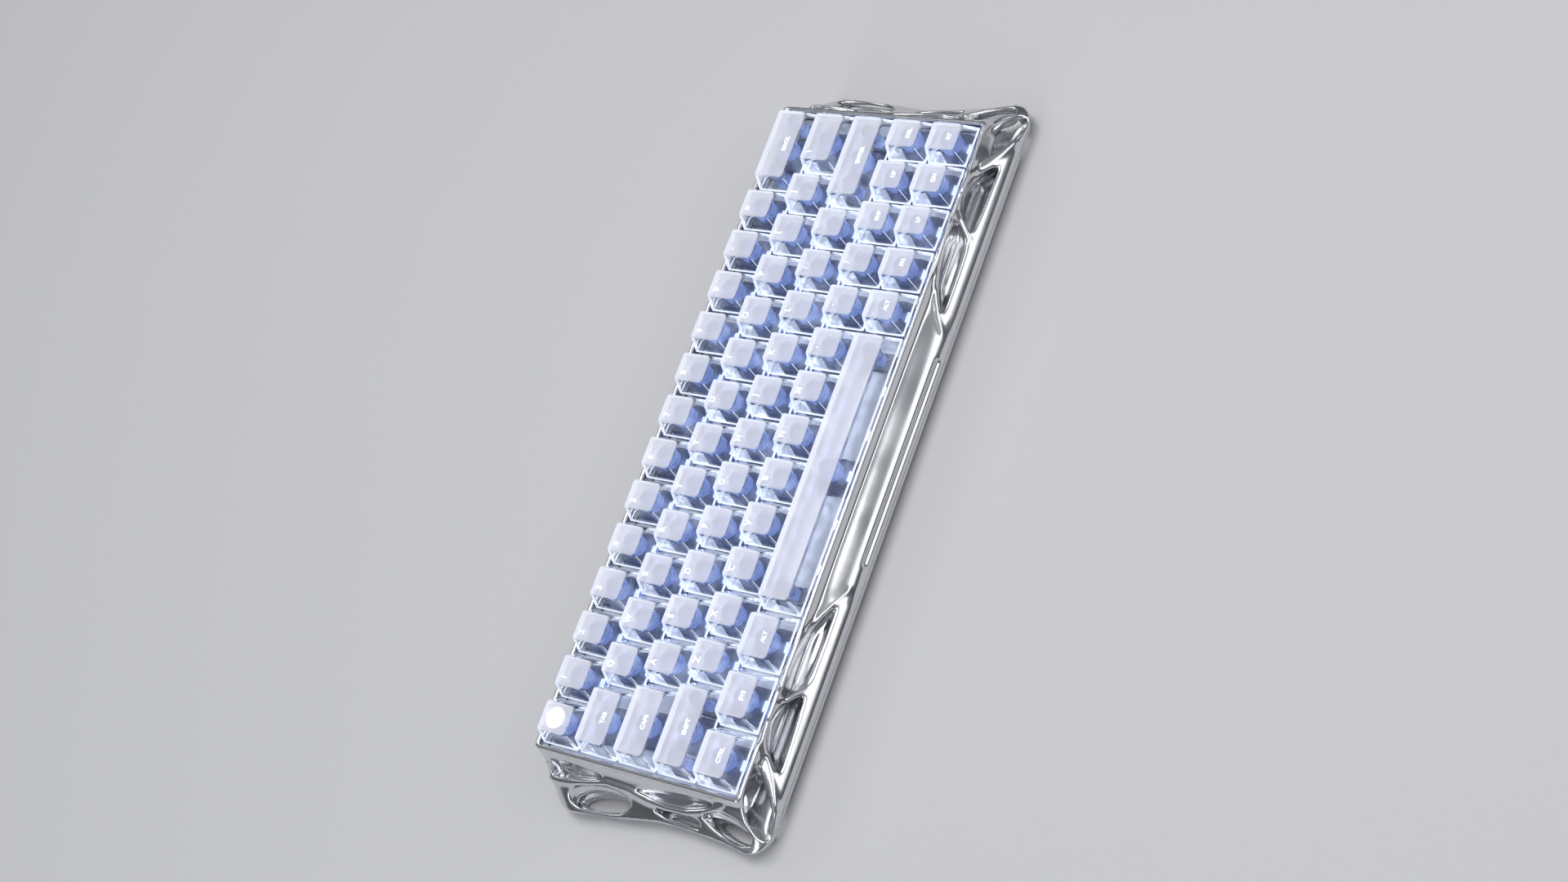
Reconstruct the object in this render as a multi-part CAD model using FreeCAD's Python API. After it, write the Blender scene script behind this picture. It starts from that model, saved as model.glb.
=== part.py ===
import FreeCAD, Part
import math
import os
from FreeCAD import Placement, Rotation, Vector

# Compact keyboard with 64 keys in a sculpted metal case. Millimetres, +Z up, +X towards the
# wide backspace key, +Y towards the rear. Z = 0 is the desk under the rubber feet.
# "Deck" means the tilted frame of the keys: its z = 0 is the top of the rim round the keys.

# Key field
KEY_PITCH = 19.05
KEY_GAP = 0.95
CAP_HEIGHT = 8.0
CAP_BASE_DROP = 1.0
CAP_SIDE_INSET = 3.1
CAP_FRONT_INSET = 3.7
CAP_REAR_INSET = 1.0
CAP_WALL = 1.3
CAP_TOP_WALL = 1.5
CAP_BASE_CORNER = 0.7
CAP_TOP_CORNER = 1.9
KEY_TRAVEL = 3.6

# Rim and tilt of the deck
DECK_TILT = 6.0
DECK_HEIGHT = 25.5
WELL_CLEARANCE = 0.6
RIM_WIDTH = 1.75
RIM_BAND = 3.0
RIM_CORNER = 1.2
SLOT_TIP = 0.8
CUT_OVERRUN = 3.0

# Case outline in plan, measured from the middle of the key field
FRONT_EDGE = 59.6
REAR_EDGE = 51.5
CASE_HALF_LENGTH = 163.0
END_WAIST = 5.6
END_FRONT_SHOULDER = 2.2
END_REAR_CORNER = 11.0
END_FRONT_CORNER = 9.5
SKIRT_LOW = 5.0
SKIRT_LOW_INSET = 0.7
SKIRT_LOW_REAR_INSET = 0.6
SKIRT_WIDEST = 7.2
SKIRT_UPPER = 13.0
SKIRT_UPPER_FRONT_INSET = 3.4
SKIRT_UPPER_END_INSET = 5.5
SKIRT_UPPER_REAR_INSET = 0.4
BOLSTER_GROOVE_HALF_LENGTH = 47.0
BOLSTER_GROOVE_RADIUS = 1.1
BOLSTER_GROOVE_INSET = 1.5
BOLSTER_GROOVE_HEIGHT = 10.1

# Bottom plate, feet and screws
PLATE_UNDERSIDE = 1.0
BOTTOM_INSET = 3.0
BOTTOM_EDGE_INSET = 1.5
BOTTOM_EDGE_RISE = 1.3
PARTING_INSET = 0.35
FOOT_LENGTH = 33.0
FOOT_WIDTH = 6.0
FOOT_RECESS = 1.0
FOOT_CLEARANCE = 0.15
FOOT_REAR_INSET = 8.0
FOOT_FRONT_INSET = 8.1
REAR_FOOT_FROM_END = 32.0
FRONT_FOOT_FROM_END = 53.5
GROOVE_HALF_WIDTH = 5.5
GROOVE_OVERLAP = 2.0
GROOVE_DEPTH = 0.8
SCREW_RADIUS = 1.25
SCREW_LENGTH = 7.0
SCREW_HEAD_RADIUS = 2.3
SCREW_HEAD_HEIGHT = 2.2
SCREW_SOCKET = 2.0
SCREW_SOCKET_DEPTH = 1.2
SCREW_CLEARANCE = 0.3
SCREW_THREAD_CLEARANCE = 0.05
SCREW_TIP_ROOM = 0.5
SCREW_REAR_INSET = 8.5
SCREW_FRONT_INSET = 7.8
REAR_SCREW_FROM_END = 9.7
FRONT_SCREW_FROM_END = 30.2
REAR_INNER_SCREW_X = 47.8
FRONT_INNER_SCREW_X = 46.6
SCREW_POST_HALF = 3.5
SCREW_POST_HEIGHT = 6.0
SCREW_POST_REAR_INSET = 2.5

# Inner stack, depths below the deck
SWITCH_ABOVE_PLATE = 6.6
PLATE_TOP_DEPTH = 7.2
SWITCH_PLATE_THICKNESS = 1.5
PLATE_TO_BOARD = 5.0
BOARD_THICKNESS = 1.6
GASKET_THICKNESS = 1.5
GASKET_LENGTH = 60.0
GASKET_PITCH = 98.0
END_GASKET_LENGTH = 44.0
LEDGE_WIDTH = 2.2
EDGE_CLEARANCE = 0.4
BOARD_SPACE = 1.0
FLOOR_END_INSET = 2.0
FLOOR_FRONT_INSET = 1.5
FLOOR_REAR_INSET = 3.5
CHIP_SIZE = 9.0
CHIP_HEIGHT = 1.2
CHIP_FROM_USB = 26.5
CHIP_Y = 28.5
FOAM_THICKNESS = 3.0
FOAM_FRONT = -4.0
FOAM_END_ROOM = 4.0
FOAM_REAR_ROOM = 3.0
FOAM_CLEARANCE = 1.0

# Switches
SWITCH_BODY = 13.9
SWITCH_HOLE = 14.1
SWITCH_SHOULDER = 15.4
SWITCH_TOP_X = 11.0
SWITCH_TOP_Y = 9.6
SLIDER_X = 7.0
SLIDER_Y = 5.4
SLIDER_CLEARANCE = 0.25
SLIDER_HEIGHT = 5.0
POST_SIZE = 4.0
POST_HEIGHT = 3.6
BOSS_RADIUS = 2.75
FIT_CLEARANCE = 0.1
SLIDER_SPARE = 0.5
LED_X = 3.2
LED_Y = 2.2
LED_HEIGHT = 1.0
LED_OFFSET = 4.85
LED_SLOT_CLEARANCE = 0.3

# Stabilizers of the wide keys
STAB_SPREAD = 11.94
SPACE_STAB_SPREAD = 50.0
STAB_HOUSING_X = 6.6
STAB_HOUSING_Y = 11.2
STAB_TOP_DEPTH = 4.4
STAB_INSERT = 4.4
STAB_HOLE_CLEARANCE = 0.3
WIRE_RADIUS = 0.6
WIRE_PIVOT_Y = 8.2
WIRE_PIVOT_DEPTH = 9.5
WIRE_ARM = 7.8
WIRE_REST_ANGLE = 25.0
WIRE_BEND = 2.0
WIRE_CLEARANCE = 0.35
INSERT_LIP = 0.8

# Rear wall, USB socket and its board
USB_X = -133.0
USB_HEIGHT = 13.2
USB_WIDTH = 8.9
USB_THICKNESS = 3.2
USB_DEPTH = 7.4
USB_HOLE_CLEARANCE = 0.3
USB_RECESS_LENGTH = 15.0
USB_RECESS_HEIGHT = 7.0
USB_RECESS_DEPTH = 1.6
USB_SET_BACK = 0.2
USB_WALL = 1.6
USB_SHELL = 0.3
USB_BACK_WALL = 1.0
USB_TONGUE_WIDTH = 6.6
USB_TONGUE_THICKNESS = 0.7
USB_TONGUE_SET_BACK = 1.2
USB_BOARD_X = 18.0
USB_BOARD_Y = 16.0
USB_ROOM_DEPTH = 25.0
USB_POST_RADIUS = 2.0
USB_POST_INSET = 2.5
CABLE_WIDTH = 8.0
CABLE_THICKNESS = 0.3
CABLE_LAP = 3.0
CABLE_RISE = 4.0
CABLE_REACH = 6.0
CABLE_GAP = 0.05
INSERT_X = 131.0
INSERT_LENGTH = 17.0
INSERT_HEIGHT = 6.0
INSERT_DEPTH = 1.4
INSERT_SEAT = 1.0
INSERT_THICKNESS = 1.2

case_centre_shift = (FRONT_EDGE - REAR_EDGE) / 2.0
deck_place = Placement(Vector(0, case_centre_shift, DECK_HEIGHT), Rotation(Vector(1, 0, 0), DECK_TILT))

# Plain keys share a node with their neighbours; the others have a node each.
ROWS = (
    (("escape", 1), ("1", 1), ("2", 1), ("3", 1), ("4", 1), ("5", 1), ("6", 1), ("7", 1), ("8", 1),
     ("9", 1), ("0", 1), ("minus", 1), ("equals", 1), ("backspace", 2)),
    (("tab", 1.5), ("q", 1), ("w", 1), ("e", 1), ("r", 1), ("t", 1), ("y", 1), ("u", 1), ("i", 1),
     ("o", 1), ("p", 1), ("left_bracket", 1), ("right_bracket", 1), ("backslash", 1.5)),
    (("caps_lock", 1.75), ("a", 1), ("s", 1), ("d", 1), ("f", 1), ("g", 1), ("h", 1), ("j", 1), ("k", 1),
     ("l", 1), ("semicolon", 1), ("quote", 1), ("enter", 2.25)),
    (("left_shift", 2), ("z", 1), ("x", 1), ("c", 1), ("v", 1), ("b", 1), ("n", 1), ("m", 1), ("comma", 1),
     ("period", 1), ("slash", 1), ("right_shift", 1), ("up", 1), ("delete", 1)),
    (("control", 1.25), ("system", 1.25), ("alt", 1.25), ("space", 6.25), ("right_alt", 1),
     ("function", 1), ("left", 1), ("down", 1), ("right", 1)),
)
OWN_NODE = {"escape", "backspace", "tab", "backslash", "caps_lock", "enter", "left_shift", "right_shift",
            "up", "delete", "control", "system", "alt", "space", "right_alt", "function", "left", "down",
            "right"}
# Keys on stabilizers: distance of the inserts from the middle, and the side of the wire
STABILIZED = {"backspace": (STAB_SPREAD, -1), "enter": (STAB_SPREAD, -1), "left_shift": (STAB_SPREAD, -1),
              "space": (SPACE_STAB_SPREAD, 1)}

ROW_UNITS = sum(width for name, width in ROWS[0])
FIELD_HALF_X = ROW_UNITS * KEY_PITCH / 2.0
FIELD_HALF_Y = len(ROWS) * KEY_PITCH / 2.0
WELL_HALF_X = FIELD_HALF_X + WELL_CLEARANCE
WELL_HALF_Y = FIELD_HALF_Y + WELL_CLEARANCE
RIM_HALF_X = WELL_HALF_X + RIM_WIDTH
RIM_HALF_Y = WELL_HALF_Y + RIM_WIDTH

plate_top = -PLATE_TOP_DEPTH
plate_bottom = plate_top - SWITCH_PLATE_THICKNESS
board_top = plate_top - PLATE_TO_BOARD
board_bottom = board_top - BOARD_THICKNESS
switch_top = plate_top + SWITCH_ABOVE_PLATE
cap_base = -CAP_BASE_DROP
ledge_top = plate_bottom - GASKET_THICKNESS
LEDGE_HALF_X = WELL_HALF_X - LEDGE_WIDTH
LEDGE_HALF_Y = WELL_HALF_Y - LEDGE_WIDTH


def placed_keys():
    keys = []
    for row_number, row in enumerate(ROWS):
        left = -FIELD_HALF_X
        middle_y = FIELD_HALF_Y - (row_number + 0.5) * KEY_PITCH
        for name, width in row:
            middle_x = left + width * KEY_PITCH / 2.0
            keys.append((row_number, name, width, middle_x, middle_y))
            left += width * KEY_PITCH
    return keys


def key_groups(keys):
    groups = []
    for row_number in range(len(ROWS)):
        row = [key for key in keys if key[0] == row_number]
        for key in row:
            if key[1] in OWN_NODE:
                groups.append(("key_" + key[1], [key]))
        plain = [key for key in row if key[1] not in OWN_NODE]
        pairs = [plain[i:i + 2] for i in range(0, len(plain), 2)]
        if len(pairs) > 1 and len(pairs[-1]) == 1:
            single = pairs.pop()
            pairs[-1] = pairs[-1] + single
        for pair in pairs:
            groups.append(("keys_" + "_".join(key[1] for key in pair), pair))
    return groups


def to_deck(shape):
    moved = shape.copy()
    moved.Placement = deck_place.multiply(moved.Placement)
    return moved


def to_floor(shape):
    moved = shape.copy()
    moved.translate(Vector(0, case_centre_shift, 0))
    return moved


def box(x0, x1, y0, y1, z0, z1):
    return Part.makeBox(x1 - x0, y1 - y0, z1 - z0, Vector(x0, y0, z0))


def polygon_wire(points):
    return Part.makePolygon(points + [points[0]])


def prism(outline, z0, z1):
    face = Part.Face(polygon_wire([Vector(x, y, z0) for x, y in outline]))
    return face.extrude(Vector(0, 0, z1 - z0))


def cut_corner_outline(x0, x1, y0, y1, corner):
    return [(x0 + corner, y0), (x1 - corner, y0), (x1, y0 + corner), (x1, y1 - corner),
            (x1 - corner, y1), (x0 + corner, y1), (x0, y1 - corner), (x0, y0 + corner)]


def frustum(low, low_z, high, high_z):
    """Flat-sided solid between two outlines with parallel edges, one above the other."""
    below = [Vector(x, y, low_z) for x, y in low]
    above = [Vector(x, y, high_z) for x, y in high]
    faces = [Part.Face(polygon_wire(below)), Part.Face(polygon_wire(above))]
    for i in range(len(below)):
        j = (i + 1) % len(below)
        faces.append(Part.Face(polygon_wire([below[i], below[j], above[j], above[i]])))
    return Part.makeSolid(Part.makeShell(faces))


def stadium(length, width, z0, z1):
    half = (length - width) / 2.0
    radius = width / 2.0
    edges = [Part.LineSegment(Vector(-half, -radius, z0), Vector(half, -radius, z0)).toShape(),
             Part.Arc(Vector(half, -radius, z0), Vector(half + radius, 0, z0),
                      Vector(half, radius, z0)).toShape(),
             Part.LineSegment(Vector(half, radius, z0), Vector(-half, radius, z0)).toShape(),
             Part.Arc(Vector(-half, radius, z0), Vector(-half - radius, 0, z0),
                      Vector(-half, -radius, z0)).toShape()]
    return Part.Face(Part.Wire(edges)).extrude(Vector(0, 0, z1 - z0))


def leaf_wire(tip_a, tip_b, bulge_left, bulge_right, z, tip_radius):
    """Long oval with round tips. It bulges to the left and right of the way from a to b."""
    a = Vector(tip_a[0], tip_a[1], z)
    b = Vector(tip_b[0], tip_b[1], z)
    along = (b - a).normalize()
    side = Vector(-along.y, along.x, 0)
    centre_a = a + along * tip_radius
    centre_b = b - along * tip_radius
    middle = (centre_a + centre_b) * 0.5
    half_span = (centre_b - centre_a).Length / 2.0

    def flank(bulge, direction):
        radius = (half_span ** 2 + bulge ** 2 - tip_radius ** 2) / (2 * (bulge - tip_radius))
        centre = middle - direction * (radius - bulge)
        start = centre_a + (centre_a - centre).normalize() * tip_radius
        end = centre_b + (centre_b - centre).normalize() * tip_radius
        return start, middle + direction * bulge, end

    left = flank(bulge_left, side)
    right = flank(bulge_right, side * -1)
    return Part.Wire([Part.Arc(left[0], left[1], left[2]).toShape(),
                      Part.Arc(left[2], b, right[2]).toShape(),
                      Part.Arc(right[2], right[1], right[0]).toShape(),
                      Part.Arc(right[0], a, left[0]).toShape()])


def leaf(tip_a, tip_b, bulge_left, bulge_right, z0, z1):
    wire = leaf_wire(tip_a, tip_b, bulge_left, bulge_right, z0, SLOT_TIP)
    return Part.Face(wire).extrude(Vector(0, 0, z1 - z0))


def many_sided(x, y, radius, sides, z0, z1):
    """Upright prism with the corners of an even-sided figure on a circle."""
    corners = [(x + radius * math.cos(2 * math.pi * (i + 0.5) / sides),
                y + radius * math.sin(2 * math.pi * (i + 0.5) / sides)) for i in range(sides)]
    return prism(corners, z0, z1)


def mirror_x(shape):
    return shape.mirror(Vector(0, 0, 0), Vector(1, 0, 0))


def mirror_z(shape):
    return shape.mirror(Vector(0, 0, 0), Vector(0, 0, 1))


def both_sides(shapes):
    return list(shapes) + [mirror_x(shape) for shape in shapes]


# Keycaps and stems

def cap_shell(width):
    half_x = (width * KEY_PITCH - KEY_GAP) / 2.0
    half_y = (KEY_PITCH - KEY_GAP) / 2.0
    cap_top = cap_base + CAP_HEIGHT
    outer = frustum(cut_corner_outline(-half_x, half_x, -half_y, half_y, CAP_BASE_CORNER), cap_base,
                    cut_corner_outline(-half_x + CAP_SIDE_INSET, half_x - CAP_SIDE_INSET,
                                       -half_y + CAP_FRONT_INSET, half_y - CAP_REAR_INSET,
                                       CAP_TOP_CORNER), cap_top)
    ceiling = cap_top - CAP_TOP_WALL
    part_way = (CAP_HEIGHT - CAP_TOP_WALL) / CAP_HEIGHT
    low = [(-half_x + CAP_WALL, -half_y + CAP_WALL), (half_x - CAP_WALL, -half_y + CAP_WALL),
           (half_x - CAP_WALL, half_y - CAP_WALL), (-half_x + CAP_WALL, half_y - CAP_WALL)]
    in_x = half_x - CAP_WALL - CAP_SIDE_INSET * part_way
    in_front = -half_y + CAP_WALL + CAP_FRONT_INSET * part_way
    in_rear = half_y - CAP_WALL - CAP_REAR_INSET * part_way
    high = [(-in_x, in_front), (in_x, in_front), (in_x, in_rear), (-in_x, in_rear)]
    return outer.cut(frustum(low, cap_base, high, ceiling))


def boss(x):
    """Eight-sided boss under the cap's top with the square socket of a post."""
    bottom = switch_top + 2 * FIT_CLEARANCE
    top = cap_base + CAP_HEIGHT - CAP_TOP_WALL / 2.0
    half = POST_SIZE / 2.0 + FIT_CLEARANCE
    socket = box(x - half, x + half, -half, half, bottom, bottom + POST_HEIGHT + FIT_CLEARANCE)
    return many_sided(x, 0, BOSS_RADIUS, 8, bottom, top), socket


def keycap(name, width):
    shell = cap_shell(width)
    places = [0.0]
    if name in STABILIZED:
        spread = STABILIZED[name][0]
        places += [-spread, spread]
    bosses = [boss(x) for x in places]
    shell = shell.fuse([body for body, socket in bosses]).removeSplitter()
    return shell.cut(Part.makeCompound([socket for body, socket in bosses]))


def stem():
    top = switch_top + FIT_CLEARANCE
    slider = box(-SLIDER_X / 2, SLIDER_X / 2, -SLIDER_Y / 2, SLIDER_Y / 2, top - SLIDER_HEIGHT, top)
    post = box(-POST_SIZE / 2, POST_SIZE / 2, -POST_SIZE / 2, POST_SIZE / 2, top, top + POST_HEIGHT)
    return slider.fuse(post).removeSplitter()


def wire_end(side):
    """Place of the wire's arm end at rest, in the plane across the wire."""
    angle = math.radians(WIRE_REST_ANGLE)
    return (side * (WIRE_PIVOT_Y - WIRE_ARM * math.cos(angle)),
            -WIRE_PIVOT_DEPTH + WIRE_ARM * math.sin(angle))


def stab_insert(x, side):
    """Sliding insert of a stabilizer, with the notch that the wire's arm reaches into."""
    half = STAB_INSERT / 2.0
    end_y, end_z = wire_end(side)
    slope = math.radians(WIRE_REST_ANGLE)
    inside = half - abs(end_y)
    notch_low = end_z - inside * math.tan(slope) - WIRE_RADIUS / math.cos(slope) - WIRE_CLEARANCE
    notch_high = end_z + WIRE_RADIUS / math.cos(slope) + WIRE_CLEARANCE
    top = switch_top + FIT_CLEARANCE
    body = box(x - half, x + half, -half, half, notch_low - INSERT_LIP, top)
    post_half = POST_SIZE / 2.0
    post = box(x - post_half, x + post_half, -post_half, post_half, top, top + POST_HEIGHT)
    deepest = WIRE_ARM - WIRE_PIVOT_Y + WIRE_CLEARANCE
    notch_y = sorted((side * (half + 1), -side * deepest))
    notch = box(x - half - 1, x + half + 1, notch_y[0], notch_y[1], notch_low, notch_high)
    return body.fuse(post).removeSplitter().cut(notch)


def key_solids(name, width):
    solids = [keycap(name, width), stem()]
    if name in STABILIZED:
        spread, side = STABILIZED[name]
        solids += [stab_insert(-spread, side), stab_insert(spread, side)]
    return solids


# Switches, stabilizers and boards

def switch_housing():
    half = SWITCH_BODY / 2.0
    shoulder = SWITCH_SHOULDER / 2.0
    lower = box(-half, half, -half, half, board_top, plate_top)
    low = [(-shoulder, -shoulder), (shoulder, -shoulder), (shoulder, shoulder), (-shoulder, shoulder)]
    top_x = SWITCH_TOP_X / 2.0
    top_y = SWITCH_TOP_Y / 2.0
    high = [(-top_x, -top_y), (top_x, -top_y), (top_x, top_y), (-top_x, top_y)]
    upper = frustum(low, plate_top, high, switch_top)
    hole_x = SLIDER_X / 2.0 + SLIDER_CLEARANCE
    hole_y = max(SLIDER_Y / 2.0, BOSS_RADIUS) + SLIDER_CLEARANCE
    floor = switch_top - SLIDER_HEIGHT - KEY_TRAVEL - SLIDER_SPARE
    hole = box(-hole_x, hole_x, -hole_y, hole_y, floor, switch_top + 1)
    slot_x = LED_X / 2.0 + LED_SLOT_CLEARANCE
    slot_y = LED_Y / 2.0 + LED_SLOT_CLEARANCE
    light_slot = box(-slot_x, slot_x, -LED_OFFSET - slot_y, -LED_OFFSET + slot_y, board_top - 1,
                     switch_top + 1)
    return lower.fuse(upper).removeSplitter().cut(hole).cut(light_slot)


def stab_housing(x, side):
    half_x = STAB_HOUSING_X / 2.0
    half_y = STAB_HOUSING_Y / 2.0
    hole = STAB_INSERT / 2.0 + STAB_HOLE_CLEARANCE
    body = box(x - half_x, x + half_x, -half_y, half_y, board_top, -STAB_TOP_DEPTH)
    well = box(x - hole, x + hole, -hole, hole, board_top - 1, -STAB_TOP_DEPTH + 1)
    slot_half = WIRE_RADIUS + WIRE_CLEARANCE
    slot_y = sorted((0.0, side * (half_y + 1)))
    slot_top = wire_end(side)[1] + WIRE_RADIUS + WIRE_CLEARANCE
    slot = box(x - slot_half, x + slot_half, slot_y[0], slot_y[1], board_top - 1, slot_top)
    return body.cut(well).cut(slot)


def stab_wire(spread, side):
    """Bent wire: a long bar along X and two arms that rise into the inserts."""
    end_y, end_z = wire_end(side)
    pivot_y = side * WIRE_PIVOT_Y
    arm = Vector(0, end_y - pivot_y, end_z + WIRE_PIVOT_DEPTH).normalize()
    route = []
    for turn in (-1, 1):
        corner = Vector(turn * spread, pivot_y, -WIRE_PIVOT_DEPTH)
        stretch = [corner + arm * WIRE_ARM, corner + arm * WIRE_BEND,
                   corner - Vector(turn * WIRE_BEND, 0, 0)]
        route += stretch if turn < 0 else reversed(stretch)
    runs = []
    for start, end in zip(route, route[1:]):
        runs.append(Part.makeCylinder(WIRE_RADIUS, (end - start).Length, start, end - start))
    bends = [Part.makeSphere(WIRE_RADIUS, corner) for corner in route[1:-1]]
    return runs[0].fuse(runs[1:] + bends)


def switch_plate(keys):
    half_x = WELL_HALF_X - EDGE_CLEARANCE
    half_y = WELL_HALF_Y - EDGE_CLEARANCE
    sheet = box(-half_x, half_x, -half_y, half_y, plate_bottom, plate_top)
    half = SWITCH_HOLE / 2.0
    holes = []
    for row_number, name, width, x, y in keys:
        holes.append(box(x - half, x + half, y - half, y + half, plate_bottom - 1, plate_top + 1))
        if name in STABILIZED:
            spread, side = STABILIZED[name]
            wide = STAB_HOUSING_X / 2.0 + STAB_HOLE_CLEARANCE
            near = -side * (STAB_HOUSING_Y / 2.0 + STAB_HOLE_CLEARANCE)
            far = side * (WIRE_PIVOT_Y + WIRE_RADIUS + WIRE_CLEARANCE)
            low, high = sorted((near, far))
            for middle in (x - spread, x + spread):
                holes.append(box(middle - wide, middle + wide, y + low, y + high,
                                 plate_bottom - 1, plate_top + 1))
    return sheet.cut(Part.makeCompound(holes))


def circuit_board():
    half_x = LEDGE_HALF_X - EDGE_CLEARANCE
    half_y = LEDGE_HALF_Y - EDGE_CLEARANCE
    board = box(-half_x, half_x, -half_y, half_y, board_bottom, board_top)
    chip_x = USB_X + CHIP_FROM_USB
    half = CHIP_SIZE / 2.0
    chip = box(chip_x - half, chip_x + half, CHIP_Y - half, CHIP_Y + half, board_bottom - CHIP_HEIGHT,
               board_bottom)
    half_notch = USB_WIDTH / 2.0 + EDGE_CLEARANCE
    notch = box(USB_X - half_notch, USB_X + half_notch, usb_outer_end() - USB_DEPTH - EDGE_CLEARANCE,
                REAR_EDGE, USB_HEIGHT, 2 * DECK_HEIGHT)
    return to_deck(board.fuse(chip).removeSplitter()).cut(to_floor(notch))


def gasket_strips():
    strips = []
    inner_x = LEDGE_HALF_X
    outer_x = WELL_HALF_X - EDGE_CLEARANCE
    half = GASKET_LENGTH / 2.0
    for middle in (-GASKET_PITCH, 0.0, GASKET_PITCH):
        for side in (-1, 1):
            y0, y1 = sorted((side * LEDGE_HALF_Y, side * (WELL_HALF_Y - EDGE_CLEARANCE)))
            strips.append(box(middle - half, middle + half, y0, y1, ledge_top, plate_bottom))
    end_half = END_GASKET_LENGTH / 2.0
    for side in (-1, 1):
        x0, x1 = sorted((side * inner_x, side * outer_x))
        strips.append(box(x0, x1, -end_half, end_half, ledge_top, plate_bottom))
    return strips


# Case

def smooth_edge(points):
    curve = Part.BSplineCurve()
    curve.interpolate(points)
    return curve.toShape()


def quarter(a, corner, b):
    curve = Part.BezierCurve()
    curve.setPoles([a, corner, b])
    return curve.toShape()


def case_section(front, rear, end_points, front_corner, rear_corner, place=None, z=0.0):
    """Closed outline of eight edges. end_points are (x, y) of the +X end, front to rear."""
    def point(x, y):
        spot = Vector(x, y, z)
        return place.multVec(spot) if place else spot
    ends = list(end_points)
    x_front, y_front = ends[0]
    x_rear, y_rear = ends[-1]
    corner_front_x = x_front - front_corner
    corner_rear_x = x_rear - rear_corner
    right = smooth_edge([point(x, y) for x, y in ends])
    left = smooth_edge([point(-x, y) for x, y in reversed(ends)])
    edges = [Part.LineSegment(point(-corner_front_x, -front), point(corner_front_x, -front)).toShape(),
             quarter(point(corner_front_x, -front), point(x_front, -front), point(x_front, y_front)),
             right,
             quarter(point(x_rear, y_rear), point(x_rear, rear), point(corner_rear_x, rear)),
             Part.LineSegment(point(corner_rear_x, rear), point(-corner_rear_x, rear)).toShape(),
             quarter(point(-corner_rear_x, rear), point(-x_rear, rear), point(-x_rear, y_rear)),
             left,
             quarter(point(-x_front, y_front), point(-x_front, -front), point(-corner_front_x, -front))]
    return Part.Wire(edges)


# The wavy end: share of the way from the front corner to the rear one, share of the shoulder and
# share of the waist by which the outline draws in there
END_WAVE = ((0.0, 1.0, 0.0), (0.14, 1.0, 0.35), (0.36, 0.0, 0.95), (0.52, 0.0, 0.92), (0.74, 0.0, 0.42),
            (1.0, 0.0, 0.0))


def end_curve(inset):
    """Wavy end of the case from its front corner to its rear corner."""
    reach = CASE_HALF_LENGTH - inset
    front = -FRONT_EDGE + inset + END_FRONT_CORNER
    rear = REAR_EDGE - inset - END_REAR_CORNER
    return [(reach - shoulder * END_FRONT_SHOULDER - waist * END_WAIST, front + (rear - front) * share)
            for share, shoulder, waist in END_WAVE]


def straight_end(x, front, rear, corner):
    low = -front + corner
    high = rear - corner
    return [(x, low + (high - low) * share) for share, shoulder, waist in END_WAVE]


def skirt_section(front_inset, end_inset, rear_inset, z):
    wire = case_section(FRONT_EDGE - front_inset, REAR_EDGE - rear_inset, end_curve(end_inset),
                        END_FRONT_CORNER, END_REAR_CORNER, None, z)
    wire.translate(Vector(0, case_centre_shift, 0))
    return wire


def rim_section(z):
    return case_section(RIM_HALF_Y, RIM_HALF_Y, straight_end(RIM_HALF_X, RIM_HALF_Y, RIM_HALF_Y, RIM_CORNER),
                        RIM_CORNER, RIM_CORNER, deck_place, z)


def case_body():
    """Upright rim, then sides that sweep out to the widest line and tuck in below it."""
    upper_skirt = skirt_section(SKIRT_UPPER_FRONT_INSET, SKIRT_UPPER_END_INSET, SKIRT_UPPER_REAR_INSET,
                                SKIRT_UPPER)
    widest = skirt_section(0, 0, 0, SKIRT_WIDEST)
    lowest = skirt_section(SKIRT_LOW_INSET, SKIRT_LOW_INSET, SKIRT_LOW_REAR_INSET, SKIRT_LOW)
    rim = Part.makeLoft([rim_section(0), rim_section(-RIM_BAND)], True, True)
    sweep = Part.makeLoft([rim_section(-RIM_BAND), upper_skirt, widest], True, False, False, 2)
    tuck = Part.makeLoft([widest, lowest], True, True)
    return rim.fuse([sweep, tuck])


# Leaf pockets in plan: tips, bulges to the left and right, and the depth below the deck. A tip is
# given by its distance in from the end of the case and then from the front edge.
FRONT_POCKETS = (((107.0, 0.6), (60.0, 6.6), 2.2, 1.3, 13.0),
                 ((57.5, 5.6), (31.5, 1.2), 2.9, 1.4, 13.0),
                 ((27.0, 6.0), (9.0, -1.0), 2.7, 2.2, 14.0))
# The same at the ends, where the second number is y
END_RECESSES = (((13.6, 43.5), (14.6, 18.0), 2.0, 2.2, 9.5),
                ((14.6, 14.5), (13.0, -35.0), 2.4, 2.0, 10.5))
# Slots right through each end, and the one through each front corner
END_SLOTS = (((5.6, 35.5), (10.4, 3.0), 2.4, 2.0),
             ((8.6, -2.5), (7.8, -26.5), 1.2, 1.2),
             ((10.4, -30.5), (7.2, -51.5), 2.5, 2.6))
CORNER_SLOTS = (((24.2, 4.2), (12.4, 3.0), 1.3, 1.3),)
# Lens pockets in the rear wall: from x, to x, height above the desk, half height, depth
REAR_POCKETS = ((-107.0, -34.0, 11.5, 3.2, 3.0), (-100.0, -27.0, 20.0, 2.2, 1.6),
                (-20.0, 22.0, 18.5, 3.6, 1.8), (-24.0, 30.0, 9.5, 1.9, 2.6),
                (36.0, 104.0, 13.5, 4.2, 2.6))


def from_end(tip):
    return CASE_HALF_LENGTH - tip[0], tip[1]


def from_front_corner(tip):
    return CASE_HALF_LENGTH - tip[0], tip[1] - FRONT_EDGE


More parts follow.
